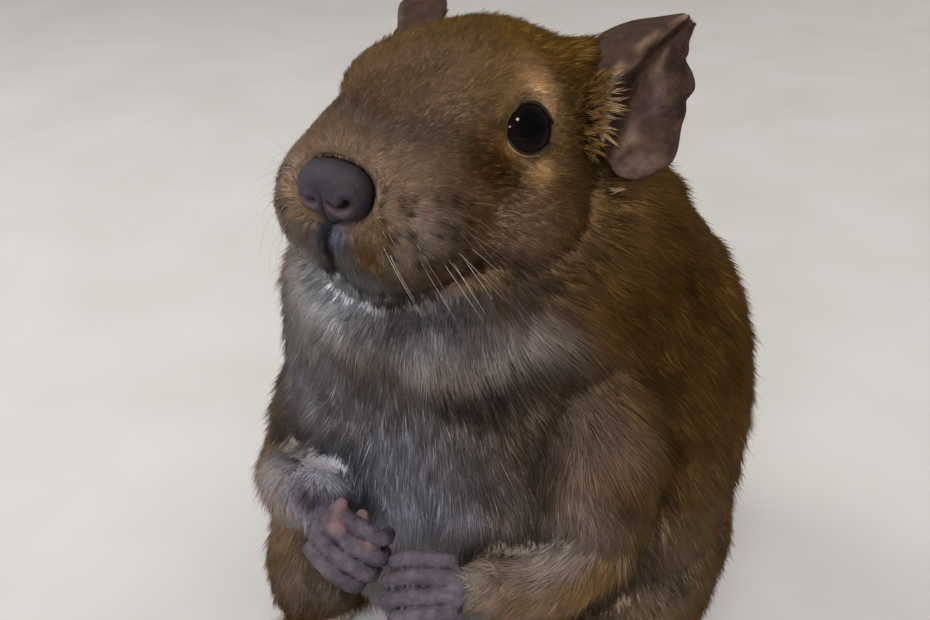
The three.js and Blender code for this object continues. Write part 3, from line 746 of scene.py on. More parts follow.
def strands(name, paths, radii, uppers, colour, chance, uv=None, sides=3, flat=1.0):
    """Tapered hairs as one mesh: each is a closed tube along its path that ends in a point.

    Radii, uppers, colour and chance are given for each hair, or once for all.
    """
    count, stops = paths.shape[:2]
    radii = np.broadcast_to(radii, (count, stops))
    uppers = np.broadcast_to(uppers, (count, 3)).astype(float)
    rings = stops - 1
    runs = unit(np.gradient(paths, axis=1))
    across = unit(np.cross(runs, uppers[:, None, :]))
    over = np.cross(across, runs)
    angles = np.arange(sides) * 2 * math.pi / sides + math.pi / 2
    ring = (
        across[:, :rings, None] * np.cos(angles)[:, None]
        + over[:, :rings, None] * (np.sin(angles) * flat)[:, None]
    )
    ring = ring * radii[:, :rings, None, None] + paths[:, :rings, None]
    each = rings * sides + 1
    points = np.concatenate([ring.reshape(count, -1, 3), paths[:, -1:]], axis=1)

    corners = [(0, k, k + 1) for k in range(1, sides - 1)]
    for r in range(rings - 1):
        for j in range(sides):
            a, b = r * sides + j, r * sides + (j + 1) % sides
            corners += [(a, b + sides, b), (a, a + sides, b + sides)]
    base = (rings - 1) * sides
    corners += [(base + j, each - 1, base + (j + 1) % sides) for j in range(sides)]
    corners = np.array(corners)
    faces = (corners[None] + (np.arange(count) * each)[:, None, None]).reshape(-1, 3)

    mesh = bpy.data.meshes.new(name)
    mesh.vertices.add(count * each)
    mesh.loops.add(faces.size)
    mesh.polygons.add(len(faces))
    mesh.vertices.foreach_set("co", (points * MM).astype(np.float32).ravel())
    mesh.loops.foreach_set("vertex_index", faces.astype(np.int32).ravel())
    mesh.polygons.foreach_set("loop_start", np.arange(0, faces.size, 3, dtype=np.int32))
    mesh.update(calc_edges=True)

    share = np.append(np.repeat(np.arange(rings) / rings, sides), 1)
    mark(mesh, "along", "FLOAT", np.tile(share, count))
    colour, chance = np.broadcast_to(colour, (count, 3)), np.broadcast_to(chance, (count,))
    mark(mesh, "marking", "FLOAT_COLOR", np.repeat(colour, each, axis=0))
    mark(mesh, "chance", "FLOAT", np.repeat(chance, each))
    if uv is not None:
        spin = np.append(np.tile(np.arange(sides) / sides, rings), 0.5)
        within = (np.stack([share, spin], axis=1) - 0.5) * TUFT_PATCH
        spots = (uv[:, None, :] + within[None]).reshape(-1, 2)
        layer = mesh.uv_layers.new(name="OFBake")
        layer.data.foreach_set("uv", spots[faces.ravel()].astype(np.float32).ravel())
    return mesh


# Materials


def node(tree, kind, settings=(), links=(), stops=()):
    """Adds a node with its settings, links its inputs and sets its ramp's stops."""
    made = tree.nodes.new(kind)
    for key, value in dict(settings).items():
        if isinstance(key, str) and hasattr(made, key):
            setattr(made, key, value)
        else:
            made.inputs[key].default_value = value
    for key, source in dict(links).items():
        tree.links.new(source, made.inputs[key])
    for index, (place, value) in enumerate(stops):
        if index >= 2:
            made.color_ramp.elements.new(place)
        element = made.color_ramp.elements[index]
        element.position = place
        element.color = (*(value if np.ndim(value) else (value,) * 3), 1)
    return made


def shader(name, settings):
    """A material with its tree, its shader and its object coordinates."""
    material = bpy.data.materials.new(name)
    material.use_nodes = True
    tree = material.node_tree
    surface = tree.nodes["Principled BSDF"]
    for key, value in settings.items():
        surface.inputs[key].default_value = value
    coordinates = tree.nodes.new("ShaderNodeTexCoord").outputs["Object"]
    return material, tree, surface, coordinates


MULTIPLY = {"data_type": "RGBA", "blend_type": "MULTIPLY", "Factor": 1}


def fur_material(name, roughness):
    """Agouti hair: dark at the root, palest short of the tip, each tuft a little unlike the next.

    Light passes through it in part, so that it looks soft.
    """
    settings = {"Roughness": roughness, "Specular IOR Level": 0.1}
    material, tree, surface, coordinates = shader(name, settings)
    colour = node(tree, "ShaderNodeAttribute", {"attribute_name": "marking"})
    along = node(tree, "ShaderNodeAttribute", {"attribute_name": "along"})
    chance = node(tree, "ShaderNodeAttribute", {"attribute_name": "chance"})
    bands = node(
        tree, "ShaderNodeValToRGB", (), {"Fac": along.outputs["Fac"]},
        [(0, 0.68), (0.35, 0.88), (0.7, 1.1), (1, 1)],
    )
    unlike = node(
        tree, "ShaderNodeValToRGB", (), {"Fac": chance.outputs["Fac"]},
        [(0, (0.58, 0.55, 0.53)), (0.5, (0.97, 0.96, 0.95)), (1, (1.45, 1.42, 1.38))],
    )
    wide = node(
        tree, "ShaderNodeTexNoise", {"Scale": 1 / (7 * MM), "Detail": 2}, {"Vector": coordinates}
    )
    patches = node(
        tree, "ShaderNodeValToRGB", (), {"Fac": wide.outputs["Fac"]}, [(0.3, 0.82), (0.7, 1.14)]
    )
    shade = colour.outputs["Color"]
    for layer in (bands, unlike, patches):
        mixed = node(tree, "ShaderNodeMix", MULTIPLY, {6: shade, 7: layer.outputs["Color"]})
        shade = mixed.outputs[2]
    tree.links.new(shade, surface.inputs["Base Color"])
    through = node(tree, "ShaderNodeBsdfTranslucent", (), {"Color": shade})
    both = node(
        tree, "ShaderNodeMixShader", {0: 0.42}, {1: surface.outputs[0], 2: through.outputs[0]}
    )
    tree.links.new(both.outputs[0], tree.nodes["Material Output"].inputs["Surface"])
    return material


def skin_material(name, roughness, grain, depth, shine=0.35):
    """Skin in its markings' colours, with fine creases that wide and deep in millimetres."""
    settings = {"Roughness": roughness, "Specular IOR Level": shine}
    material, tree, surface, coordinates = shader(name, settings)
    colour = node(tree, "ShaderNodeAttribute", {"attribute_name": "marking"})
    cells = node(
        tree, "ShaderNodeTexVoronoi", {"Scale": 1 / (grain * MM)}, {"Vector": coordinates}
    )
    fine = node(
        tree, "ShaderNodeTexNoise",
        {"Scale": 1 / (2.5 * grain * MM), "Detail": 4, "Roughness": 0.6}, {"Vector": coordinates},
    )
    height = node(
        tree, "ShaderNodeMath", {"operation": "ADD"},
        {0: cells.outputs["Distance"], 1: fine.outputs["Fac"]},
    )
    blotches = node(
        tree, "ShaderNodeValToRGB", (), {"Fac": fine.outputs["Fac"]}, [(0.3, 0.8), (0.7, 1.15)]
    )
    shade = node(
        tree, "ShaderNodeMix", MULTIPLY, {6: colour.outputs["Color"], 7: blotches.outputs["Color"]}
    )
    bump = node(
        tree, "ShaderNodeBump", {"Distance": depth * MM}, {"Height": height.outputs[0]}
    )
    tree.links.new(shade.outputs[2], surface.inputs["Base Color"])
    tree.links.new(bump.outputs["Normal"], surface.inputs["Normal"])
    return material


# Where the coat lies


def lie_anchors(group):
    """The places, ways and lengths of a group's lie, in the animal's frame."""
    if group == "tail":
        path, runs = along_curve(TAIL_PATH, 12)
        return path, runs, np.full(12, 3.2)
    rows = LIE[group]
    if group == "head":
        twins = [(mirrored(at, -1), mirrored(way, -1), size) for at, way, size in rows if at[0]]
        rows = (*rows, *twins)
    at, ways, sizes = (np.array([row[k] for row in rows], float) for k in range(3))
    if group == "head":
        return from_head(at), unit(ways @ HEAD_AXES.T), sizes
    return at, unit(ways), sizes


def skull_share(in_head):
    """Distance of places in the head's frame from the skull's middle, 1 near its surface."""
    middle, size = (0, -2, -1), (21, 26, 19)
    return np.linalg.norm((in_head - middle) / size, axis=1)


def lie_at(points, owners):
    """The coat's way and length at each vertex, from its group's anchors.

    Behind the face, those of the head and the trunk flow into one another.
    """
    in_head = to_head(points)
    head, trunk = (owners == GROUPS.index(group) for group in ("head", "trunk"))
    of_skull = smooth_step(1.3, 0.95, skull_share(in_head))
    share = head + (of_skull - head) * smooth_step(-12, -2, in_head[:, 1])
    weights = {"head": share * (head | trunk), "trunk": (1 - share) * (head | trunk)}
    ways, sizes = np.zeros_like(points), np.zeros(len(points))
    for index, group in enumerate(GROUPS):
        weight = weights.get(group, owners == index)
        here = weight > 0
        if not here.any():
            continue
        at, way, size = lie_anchors(group)
        gap = np.linalg.norm(points[here, None] - at[None], axis=2)
        softness = 3.0 if group == "head" else 6.0
        near = weight[here, None] / (gap**2 + softness**2) ** 2
        near *= (weight[here] / near.sum(axis=1))[:, None]
        ways[here] += near @ way
        sizes[here] += near @ size
    return ways, sizes


def mouth_gap(in_head):
    """Distance of places on the head from the cleft and the mouth's line."""
    out = in_head - SKULL_CENTRE
    far = np.linalg.norm(out, axis=1)
    nearest = np.full(len(out), float(SKULL_REACH))
    for line in MOUTH_LINES:
        ways = unit(along_curve(line, 24)[0] - SKULL_CENTRE)
        gap = np.linalg.norm(unit(out)[:, None] - ways[None], axis=2).min(axis=1) * far
        nearest = np.minimum(nearest, gap)
    return np.where(far > SKULL_REACH, NOWHERE_NEAR, nearest)


def with_marks(colour, marks, points, uneven, sides=(1,), away=0):
    """The colour with these markings on it, on both sides where that many are given."""
    named = colours()
    for name, at, reach, strength in marks:
        for side in sides if at[0] else (1,):
            gap = np.linalg.norm((points - mirrored(at, side)) / reach, axis=1) * uneven + away
            colour = blend(colour, named[name], strength * np.exp(-(gap**2)))
    return colour


def painted(points, owners):
    """The coat's colour at each place."""
    named = colours()
    base = {"paw_left": "paw", "paw_right": "paw", "foot": "foot", "tail": "tail"}
    colour = np.array([named[base.get(group, "back")] for group in GROUPS])[owners]
    of_head = owners == GROUPS.index("head")
    bare = np.isin(owners, [GROUPS.index(g) for g in ("paw_left", "paw_right", "foot", "tail")])
    wobble = 1 + 0.2 * drift(points, 5, 3) + 0.12 * drift(points, 1.7, 13)
    furred = ~bare
    place, uneven = points[furred], wobble[furred]
    in_head = to_head(place)
    skull = smooth_step(1.15, 0.92, skull_share(in_head))
    tone_and_shade = with_marks(colour[furred], MARKS_HEAD, in_head, uneven, (1, -1))
    tone_and_shade = with_marks(tone_and_shade, MARKS_BODY, place, uneven, away=0.5 * skull)
    # Dark roots of the whiskers, painted shade along the cleft and the mouth's line, and darker
    # hair at the rims of the eyes, partly their own dark margin and partly painted shade
    dots = np.array([mirrored(at, side) for at in FOLLICLES for side in (1, -1)])
    ways, dots = unit(in_head - SKULL_CENTRE), unit(dots - SKULL_CENTRE)
    near = np.concatenate([
        np.linalg.norm(part[:, None] - dots[None], axis=2).min(axis=1)
        for part in np.array_split(ways, 8)
    ])
    face_radius, mouth_width, lower_lid = 22, 0.95, 308
    dot_size = 0.6 + 0.4 * drift(place, 1.4, 31)
    lines = 0.8 * np.exp(-((near * face_radius / dot_size) ** 2)) * of_head[furred]
    lines += 0.85 * np.exp(-((mouth_gap(in_head) / mouth_width) ** 2))
    for side in SIDES:
        out, angle, height = eye_polar(place, side)
        rim = (out - window_radius(angle)) / 1.1
        pale = smooth_step(40, 15, np.abs(angle % 360 - lower_lid))
        lines += (0.6 - 0.5 * pale) * np.exp(-(rim**2)) * (height > 0) * (height < EYE_REACH)
    colour[furred] = tone_and_shade * (1 - np.clip(lines, 0, 0.9))[:, None]
    colour = with_marks(colour, MARKS_PAW, points, 1, away=NOWHERE_NEAR * furred)
    return np.clip(colour, 0, 1)


def nearest_groups(points):
    """The group of the CAD node that lies nearest to each point."""
    corners, faces, owners = [], [], []
    for name, cad in frame["nodes"].items():
        if name.startswith("ear") or name == "tail_brush":
            continue
        start = len(corners)
        corners += [vert.co.copy() for vert in cad.data.vertices]
        faces += [[start + i for i in face.vertices] for face in cad.data.polygons]
        owners += [GROUPS.index(GROUP_OF.get(name, "trunk"))] * len(cad.data.polygons)
    tree = BVHTree.FromPolygons(corners, faces)
    found = np.array([owners[tree.find_nearest(Vector(point) * MM)[2]] for point in points])
    lip_height = -12.2
    under_mouth = (found == GROUPS.index("head")) & (to_head(points)[:, 2] < lip_height)
    found[under_mouth] = GROUPS.index("trunk")
    return found


def body_shell(grid):
    """One shell round head, trunk, arms, thighs and tail, as far out as the coat's tips."""
    swell = 0.25
    bm = bmesh.new()
    for name in (*FLESH, "eye_left", "eye_right"):
        bm.from_mesh(frame["nodes"][name].data)
    bmesh.ops.remove_doubles(bm, verts=bm.verts, dist=1e-6)
    bm.normal_update()
    for vert in bm.verts:
        vert.co += vert.normal * swell * MM
    shell = fused(mesh_from(bm, "shell"), grid)
    largest_island(shell)
    points = relaxed(places(shell), mesh_edges(shell), 4)
    set_places(shell, points)
    set_places(shell, points - outward(shell) * swell)
    return shell


def sunk_eyes(points):
    """Draws the skin back behind the eyeballs, where the lids leave them open."""
    for side in SIDES:
        centre, _ = eye_frame(side)
        out, angle, height = eye_polar(points, side)
        ways = unit(points - centre)
        far = np.linalg.norm(points - centre, axis=1)
        open_here = 1 - smooth_step(-0.1, 0.6, out - window_radius(angle))
        open_here = open_here * (height > 0) * (far < EYE_REACH)
        inwards = np.maximum(far - EYE_RADIUS + EYE_SUNK, 0) * open_here
        points = points - ways * inwards[:, None]
    return points


def paw_frame(side):
    """The paw's place, with its across, ahead and over axes."""
    at, ahead, back = PAWS[side]
    ahead = unit(ahead)
    across = unit(np.cross(ahead, unit(back)))
    return np.array(at), np.array([across, ahead, np.cross(across, ahead)])


def finger_paths(side):
    """The joints of each finger, with the claw's tip last."""
    at, axes = paw_frame(side)
    found = []
    for offset, long in zip(FINGER_SPREAD, FINGER_LENGTHS, strict=True):
        joints = [(offset * out, long * ahead, up) for out, ahead, up in (*FINGER_JOINTS, CLAW_TIP)]
        found.append(np.array(joints) @ axes + at)
    return found


def paw_shell(side, grid):
    """A forepaw: palm, fingers with their knuckles, and pads, fused into one."""
    at, axes = paw_frame(side)
    bm = bmesh.new()
    ball = bmesh.ops.create_icosphere(bm, subdivisions=3, radius=MM)
    for vert in ball["verts"]:
        vert.co = Vector((np.array(vert.co) / MM * PALM @ axes + at) * MM)
    for path in finger_paths(side):
        beads(bm, path[:-1], np.array(FINGER_SWELLS) * FINGER)
    for pad in PADS[side]:
        beads(bm, np.array(pad) @ axes + at, PAD_RADII)
    beads(bm, [at - axes[1] * 2.6 - axes[2] * 0.8, WRISTS[side]], WRIST_RADII)
    return fused(mesh_from(bm, "paw"), grid)


def sole_ends(side):
    """The heel and the ball of a hind foot."""
    return (np.array(mirrored(end, SIDES[side]), float) for end in (HEEL, BALL))


def toe_paths(side):
    """The joints of each toe, with the claw's tip last."""
    heel, ball = sole_ends(side)
    ahead = unit((ball - heel) * (1, 1, 0))
    across = np.array([-ahead[1], ahead[0], 0]) * -SIDES[side]
    found = []
    for angle, long in zip(TOE_ANGLES, TOE_LENGTHS, strict=True):
        root = ball + across * math.sin(angle) * TOE_FAN
        way = ahead * math.cos(angle * TOE_SPLAY) + across * math.sin(angle * TOE_SPLAY)
        found.append((root, way, long))
    share, offset, forward, inward, long = INNER_TOE
    root = heel + (ball - heel) * share - across * offset
    found.append((root, ahead * forward - across * inward, long))
    paths = []
    for root, way, long in found:
        joints = [(*(root + way * long * k / 2)[:2], TOE_HEIGHTS[k]) for k in range(3)]
        claw = root + way * (long + CLAW_REACH)
        paths.append(np.array([*joints, (claw[0], claw[1], CLAW_HEIGHT)]))
    return paths


def foot_shell(side, grid):
    """A hind foot: a long flat sole with jointed toes, fused into one."""
    heel, ball = sole_ends(side)
    bm = bmesh.new()
    middle = (heel + ball) / 2 + (0, 0, 0.6)
    sizes = np.array(SOLE_WIDTH) - 0.5
    beads(bm, [heel, middle, ball], sizes, flat=0.72, spacing=0.6)
    for path in toe_paths(side):
        beads(bm, path[:-1], TOE_RADII)
    return fused(mesh_from(bm, "foot"), grid)


class DeguSkin(bpy.types.Operator):
    """Fuse the animal's flesh into one skin that lies under the coat"""

    bl_idname = "object.degu_skin"
    bl_label = "Skin"

    GROOVE_WIDTH, GROOVE_DEPTH = 0.8, 0.7
    FLOOR_GAP = 0.15

    def execute(self, context):
        sizes = context.scene.degu.sizes
        shell = body_shell(sizes.grid)
        points, edges = places(shell), mesh_edges(shell)
        owners = nearest_groups(points)
        _, lengths = lie_at(points, owners)
        lift = np.array([LIFT[group] for group in GROUPS])[owners]
        lengths = relaxed(lengths, edges, 10)[:, 0]
        depth = relaxed(lengths * lift * SINK_SHARE, edges, 6)
        points = points - outward(shell) * depth
        points = relaxed(sunk_eyes(points), edges, 1)
        groove = np.exp(-((mouth_gap(to_head(points)) / self.GROOVE_WIDTH) ** 2))
        points = points - outward(shell) * (self.GROOVE_DEPTH * groove)[:, None]
        set_places(shell, points)

        bm = bmesh.new()
        bm.from_mesh(shell)
        for side in SIDES:
            for extra in (paw_shell(side, sizes.paw_grid), foot_shell(side, sizes.paw_grid * 1.6)):
                set_places(extra, relaxed(places(extra), mesh_edges(extra), 2))
                bm.from_mesh(extra)
                bpy.data.meshes.remove(extra)
        bpy.data.meshes.remove(shell)
        skin = mesh_from(bm, "degu_skin")

        points, edges = places(skin), mesh_edges(skin)
        points[:, 2] = np.maximum(points[:, 2], self.FLOOR_GAP)
        set_places(skin, points)
        owners = nearest_groups(points)
        ways, lengths = lie_at(points, owners)
        ways = relaxed(ways, edges, 14)
        lengths = relaxed(lengths, edges, 8)[:, 0]
        # How deep each place lies in a wide crease, for the painted shade of the coat there
        deep = smooth_step(0.03, 0.5, self.hollow(skin, edges, 70))
        mark(skin, "deep", "FLOAT", relaxed(deep, edges, 3)[:, 0])
        mark(skin, "lie", "FLOAT_VECTOR", ways)
        mark(skin, "length", "FLOAT", lengths)
        mark(skin, "group", "INT", owners)
        mark(skin, "marking", "FLOAT_COLOR", self.coloured(skin, edges, owners))
        # Dull bare skin, painted darker for the shade between the hairs, creased on paws and soles
        material = skin_material("Skin under the coat", 0.75, 0.5, 0.12, 0.03)
        piece = new_piece(
            skin, "degu_skin", material,
            (*FLESH, "forepaw_left", "forepaw_right", "hind_foot_left", "hind_foot_right"),
        )
        self.unwrap(context, piece)
        return {"FINISHED"}

    def hollow(self, skin, edges, rounds):
        """How deep each vertex lies in a crease, the wider the more rounds; the painted shade of
        creases is drawn from it.
        """
        points = places(skin)
        return ((relaxed(points, edges, rounds) - points) * outward(skin)).sum(axis=1)

    def coloured(self, skin, edges, owners):
        """The skin's colour: darkened under the coat as painted shade, mottled on the paws, with
        painted shade in their creases.
        """
        points = places(skin)
        colour = relaxed(painted(points, owners), edges, 1)
        bare = np.isin(owners, [GROUPS.index(g) for g in ("paw_left", "paw_right", "foot")])
        pale = smooth_step(0.15, 0.4, colour.mean(axis=1))
        uneven = 1 + 0.3 * drift(points, 2.2, 71) + 0.22 * drift(points, 0.8, 72)
        # Mottling with painted shade in the creases of paws and soles; elsewhere painted shade
        # under the coat, less under pale hair
        tone_and_shade = uneven * (1 - 0.85 * smooth_step(0.01, 0.1, self.hollow(skin, edges, 6)))
        colour *= np.where(bare, tone_and_shade, 0.3 + 0.2 * pale)[:, None]
        at, axes = paw_frame("right")
        for pad in PADS["right"]:
            line = along_curve(np.array(pad) @ axes + at, 8)[0]
            gap = np.linalg.norm(points[:, None] - line[None], axis=2).min(axis=1)
            colour = blend(colour, colours()["pad_pink"], 0.8 * smooth_step(1.9, 1.2, gap) * bare)
        return colour

    def unwrap(self, context, piece):
        """Unfolds the skin's own shape, for the coat's roots to take their places from."""
        piece.data.uv_layers.new(name="OFBake")
        for other in context.scene.objects:
            other.select_set(other is piece)
        context.view_layer.objects.active = piece
        bpy.ops.object.mode_set(mode="EDIT")
        bpy.ops.mesh.select_all(action="SELECT")
        bpy.ops.uv.smart_project(angle_limit=math.radians(66), island_margin=0.002)
        bpy.ops.object.mode_set(mode="OBJECT")
        piece.select_set(False)


# Coat


def roots_on(skin, density, count, rng):
    """Evenly scattered places on the skin, with what the skin holds there."""
    skin.calc_loop_triangles()
    triangles = skin.loop_triangles
    corners, loops = (numbers(triangles, part, 3, np.int32) for part in ("vertices", "loops"))
    points = places(skin)
    a, b, c = (points[corners[:, k]] for k in range(3))
    area = np.linalg.norm(np.cross(b - a, c - a), axis=1) / 2
    total = np.cumsum(area * density[corners].mean(axis=1))
    stops = (np.arange(count) + rng.random(count)) / count * total[-1]
    chosen = np.minimum(np.searchsorted(total, stops), len(total) - 1)
    first = np.sqrt(rng.random(count))
    second = rng.random(count)
    shares = np.stack([1 - first, first * (1 - second), first * second], axis=1)

    def mixed(values):
        return (values[corners[chosen]] * shares[..., None]).sum(axis=1)

    uv = numbers(skin.uv_layers["OFBake"].uv, "vector", 2)
    spots = (uv[loops[chosen]] * shares[..., None]).sum(axis=1)
    return {
        "at": mixed(points),
        "normal": unit(mixed(outward(skin))),
        "lie": mixed(marked(skin, "lie", 3)),
        "length": mixed(marked(skin, "length", 1)[:, None])[:, 0],
        "deep": mixed(marked(skin, "deep", 1)[:, None])[:, 0],
        "group": marked_groups(skin)[corners[chosen, 0]],
        "uv": spots,
    }


def parted_round_eyes(points, ways):
    """Turns hair that would lie across an eye round it, and tells where it is missing or short."""
    bare, close = np.zeros(len(points), bool), np.zeros(len(points))
    for side in SIDES:
        centre, axes = eye_frame(side)
        out, angle, height = eye_polar(points, side)
        local = (points - centre) @ axes.T
        radial = unit(np.stack([local[:, 0], local[:, 1], np.zeros(len(points))], axis=1)) @ axes
        rim = out - window_radius(angle)
        near = (1 - smooth_step(0.6, 5, rim)) * (height > 0) * (height < EYE_REACH)
        inward = np.minimum((ways * radial).sum(axis=1), 0)
        ways = ways - radial * (inward * near * 1.25)[:, None]
        in_front = (height > 0) & (height < EYE_REACH)
        bare |= (rim < 0.1) & in_front
        close += smooth_step(3.2, 0.2, rim) * in_front
    return ways, bare, close


def clumped(tips, points, spacing, gather, rng, per_lock):
    """Moves that draw the tips of neighbouring tufts together, and one tone for each such lock."""
    seeds = rng.permutation(len(points))[: max(8, len(points) // per_lock)]
    tree = KDTree(len(seeds))
    for index, seed in enumerate(seeds):
        tree.insert(points[seed], index)
    tree.balance()
    nearest = np.array([seeds[tree.find(point)[1]] for point in points])
    centre = tips[nearest]
    apart = np.linalg.norm(centre - tips, axis=1)
    share = gather * (0.5 + 0.5 * rng.random(len(points))) / (1 + (apart / (spacing * 1.6)) ** 2)
    return (centre - tips) * share[:, None], rng.standard_normal(len(points))[nearest]


class DeguCoat(bpy.types.Operator):
    """Grow the coat from the skin as thin overlapping tufts that follow its lie"""

    bl_idname = "object.degu_coat"
    bl_label = "Coat"

    # Most tufts in a piece, of 4 faces each; how deep they root, how low they lie over the floor
    # and how flat they are
    MOST = 47000
    ROOTED, LOWEST, FLATNESS = 0.25, 0.12, 0.6
    SLOTS = {"head": "fur_head", "foot": "fur_foot", "trunk": "fur_back", "tail": "fur_back"}

    def execute(self, context):
        sizes = context.scene.degu.sizes
        rng = np.random.default_rng(sizes.seed)
        skin = bpy.data.objects["degu_skin"].data
        # Soft, dull fur whose banded hairs make a fine salt and pepper
        material = fur_material("Agouti fur in soft tufts", 0.62)
        owners = marked_groups(skin)
        density = self.density(skin, owners)
        # Group, number of tufts and how many share a lock
        stands = (
            ("head", sizes.head_tufts, 12),
            ("trunk", sizes.body_tufts, 26),
            (None, sizes.limb_tufts, 12),
        )
        for stand, count, per_lock in stands:
            if stand:
                here = owners == GROUPS.index(stand)
            else:
                here = ~np.isin(owners, [GROUPS.index("head"), GROUPS.index("trunk")])
            roots = roots_on(skin, density * here, count, rng)
            shape = self.shaped(roots, sizes, rng, per_lock)
            for index, group in enumerate(GROUPS):
                chosen = np.flatnonzero(shape["keep"] & (roots["group"] == index))
                chosen = chosen[np.argsort(roots["at"][chosen, 2], kind="stable")]
                parts = max(1, math.ceil(len(chosen) / self.MOST))
                for part, some in enumerate(np.array_split(chosen, parts)):
                    if len(some):
                        self.piece(f"coat_{group}_{part + 1}", some, roots, shape, material, group)
        return {"FINISHED"}

    def density(self, skin, owners):
        """How thickly the tufts stand at each vertex."""
        points, normals = places(skin), outward(skin)
        local = to_head(points)
        of_head = owners == GROUPS.index("head")
        wanted = {"tail": 0.8, "foot": 0.7, "forearm_left": 1, "forearm_right": 1}
        wanted |= {"head": 1, "trunk": 1, "paw_left": 0.25, "paw_right": 0.25}
        density = np.array([wanted[group] for group in GROUPS])[owners]
        density = density * (1 + 1.2 * smooth_step(-2, -20, local[:, 1]) * of_head)
        near_skull = smooth_step(1.4, 0.95, skull_share(local))
        thinned = 0.35 + 0.65 * np.maximum(near_skull, smooth_step(0, -10, local[:, 1]))
        density = density * np.where(of_head, thinned, 1 + 0.7 * near_skull)
        density = density * (1 - 0.8 * smooth_step(6, 1, points[:, 2]) * (normals[:, 2] < -0.5))
        ahead = smooth_step(-0.9, 0.5, normals @ unit((0.45, -0.8, 0.2)))
        density = density * np.where(of_head, 1, 0.55 + 0.45 * ahead)
        for side in SIDES.values():
            hollow = np.linalg.norm((local - mirrored((21, 14, 6), side)) / (4, 4, 8), axis=1)
            density = density * (0.15 + 0.85 * smooth_step(0.75, 1.1, hollow))
        nose = np.linalg.norm((local - NOSE_AT) / (4.7, 3.8, 3.4), axis=1)
        slit = smooth_step(0.15, 0.5, mouth_gap(local))
        return density * (nose > 1) * slit

    def shaped(self, roots, sizes, rng, per_lock):
        """The path, thickness, colour and variation of each tuft."""
        at, normal = roots["at"], roots["normal"]
        count = len(at)
        ways = roots["lie"] - normal * (roots["lie"] * normal).sum(axis=1, keepdims=True)
        ways, bare, close = parted_round_eyes(at, unit(ways))
        side = np.cross(normal, ways)
        swirl = 0.34 * drift(at, 7, 1) + 0.2 * drift(at, 2.4, 2) + 0.12 * rng.standard_normal(count)
        ways = unit(ways + side * swirl[:, None])
        side = np.cross(normal, ways)

        length = roots["length"] * (1 + 0.26 * rng.standard_normal(count).clip(-2, 2))
        length = length * (1 + 0.16 * drift(at, 4, 5)) * (1 - 0.5 * close)
        lift = np.array([LIFT[group] for group in GROUPS])[roots["group"]]
        lift = lift * (1 + 0.3 * drift(at, 3.5, 6) + 0.25 * rng.standard_normal(count)).clip(0.3, 2)
        curl = 0.08 * rng.standard_normal(count) + 0.14 * drift(at, 3, 9)

        reach = ways * 0.9 + normal * (0.7 * lift)[:, None] + side * curl[:, None]
        tips = at + (reach + (0, 0, -0.05)) * length[:, None]
        pull, tone = clumped(tips, at, sizes.clump / MM, sizes.gather, rng, per_lock)
        paths = np.stack([at - normal * self.ROOTED, tips + pull], axis=1)
        paths[..., 2] = np.maximum(paths[..., 2], self.LOWEST)

        thick = sizes.hair_base / MM + sizes.hair_share * length
        thick = thick * (0.75 + 0.5 * rng.random(count))
        radii = thick[:, None] * np.array([0.7, 0])
        colour = painted(at + (paths[:, -1] - at) * 0.6, roots["group"])
        calm = 1 - 0.4 * smooth_step(0.12, 0.35, colour.mean(axis=1))
        # Painted shade on the tufts that root in creases
        colour *= (1 - 0.6 * roots["deep"])[:, None]
        locks = 0.17 * tone + 0.07 * drift(at, 1.1, 4) + 0.2 * drift(at, 2.6, 14)
        chance = np.clip(0.5 + (0.09 * rng.standard_normal(count) + locks) * calm, 0, 1)
        return {
            "paths": paths, "radii": radii, "chance": chance, "upper": normal, "keep": ~bare,
            "colour": colour,
        }

    def piece(self, name, chosen, roots, shape, material, group):
        """One piece of the coat."""
        looks = [shape[key][chosen] for key in ("paths", "radii", "upper", "colour", "chance")]
        mesh = strands(name, *looks, uv=roots["uv"][chosen], flat=self.FLATNESS)
        new_piece(mesh, name, material)


# Eyes and lids


class DeguEyes(bpy.types.Operator):
    """Make the wet, dark eyeballs"""

    bl_idname = "object.degu_eyes"
    bl_label = "Eyes"

    def execute(self, context):
        # Wet and clear: a dark brown iris round a black pupil under one smooth film of tears, which
        # gives small sharp lights
        material, tree, surface, coordinates = shader(
            "Wet cornea over a dark iris", {"Roughness": 0.05, "Specular IOR Level": 0.05}
        )
        iris = node(tree, "ShaderNodeAttribute", {"attribute_name": "iris"})
        rings = node(
            tree, "ShaderNodeValToRGB", (), {"Fac": iris.outputs["Fac"]},
            [(0, linear("030202")), (0.45, linear("040303")), (0.62, linear("0E0705")),
             (0.9, linear("070404")), (1, linear("0C0808"))],
        )
        fibres = node(
            tree, "ShaderNodeTexNoise",
            {"Scale": 1 / (0.6 * MM), "Detail": 3}, {"Vector": coordinates},
        )
        tint = node(
            tree, "ShaderNodeValToRGB", (), {"Fac": fibres.outputs["Fac"]}, [(0.3, 0.7), (0.7, 1.2)]
        )
        shade = node(
            tree, "ShaderNodeMix", MULTIPLY, {6: rings.outputs["Color"], 7: tint.outputs["Color"]}
        )
        tree.links.new(shade.outputs[2], surface.inputs["Base Color"])
        for side in SIDES:
            centre, axes = eye_frame(side)
            bm = bmesh.new()
            bmesh.ops.create_uvsphere(bm, u_segments=64, v_segments=40, radius=EYE_RADIUS * MM)
            mesh = mesh_from(bm, f"eyeball_{side}")
            points = places(mesh)
            angle = np.degrees(np.arccos(np.clip(points[:, 2] / EYE_RADIUS, -1, 1)))
            set_places(mesh, points @ axes + centre)
            mark(mesh, "iris", "FLOAT", np.clip(angle / 60, 0, 1))
            new_piece(mesh, f"eyeball_{side}", material, (f"eye_{side}",))
        return {"FINISHED"}


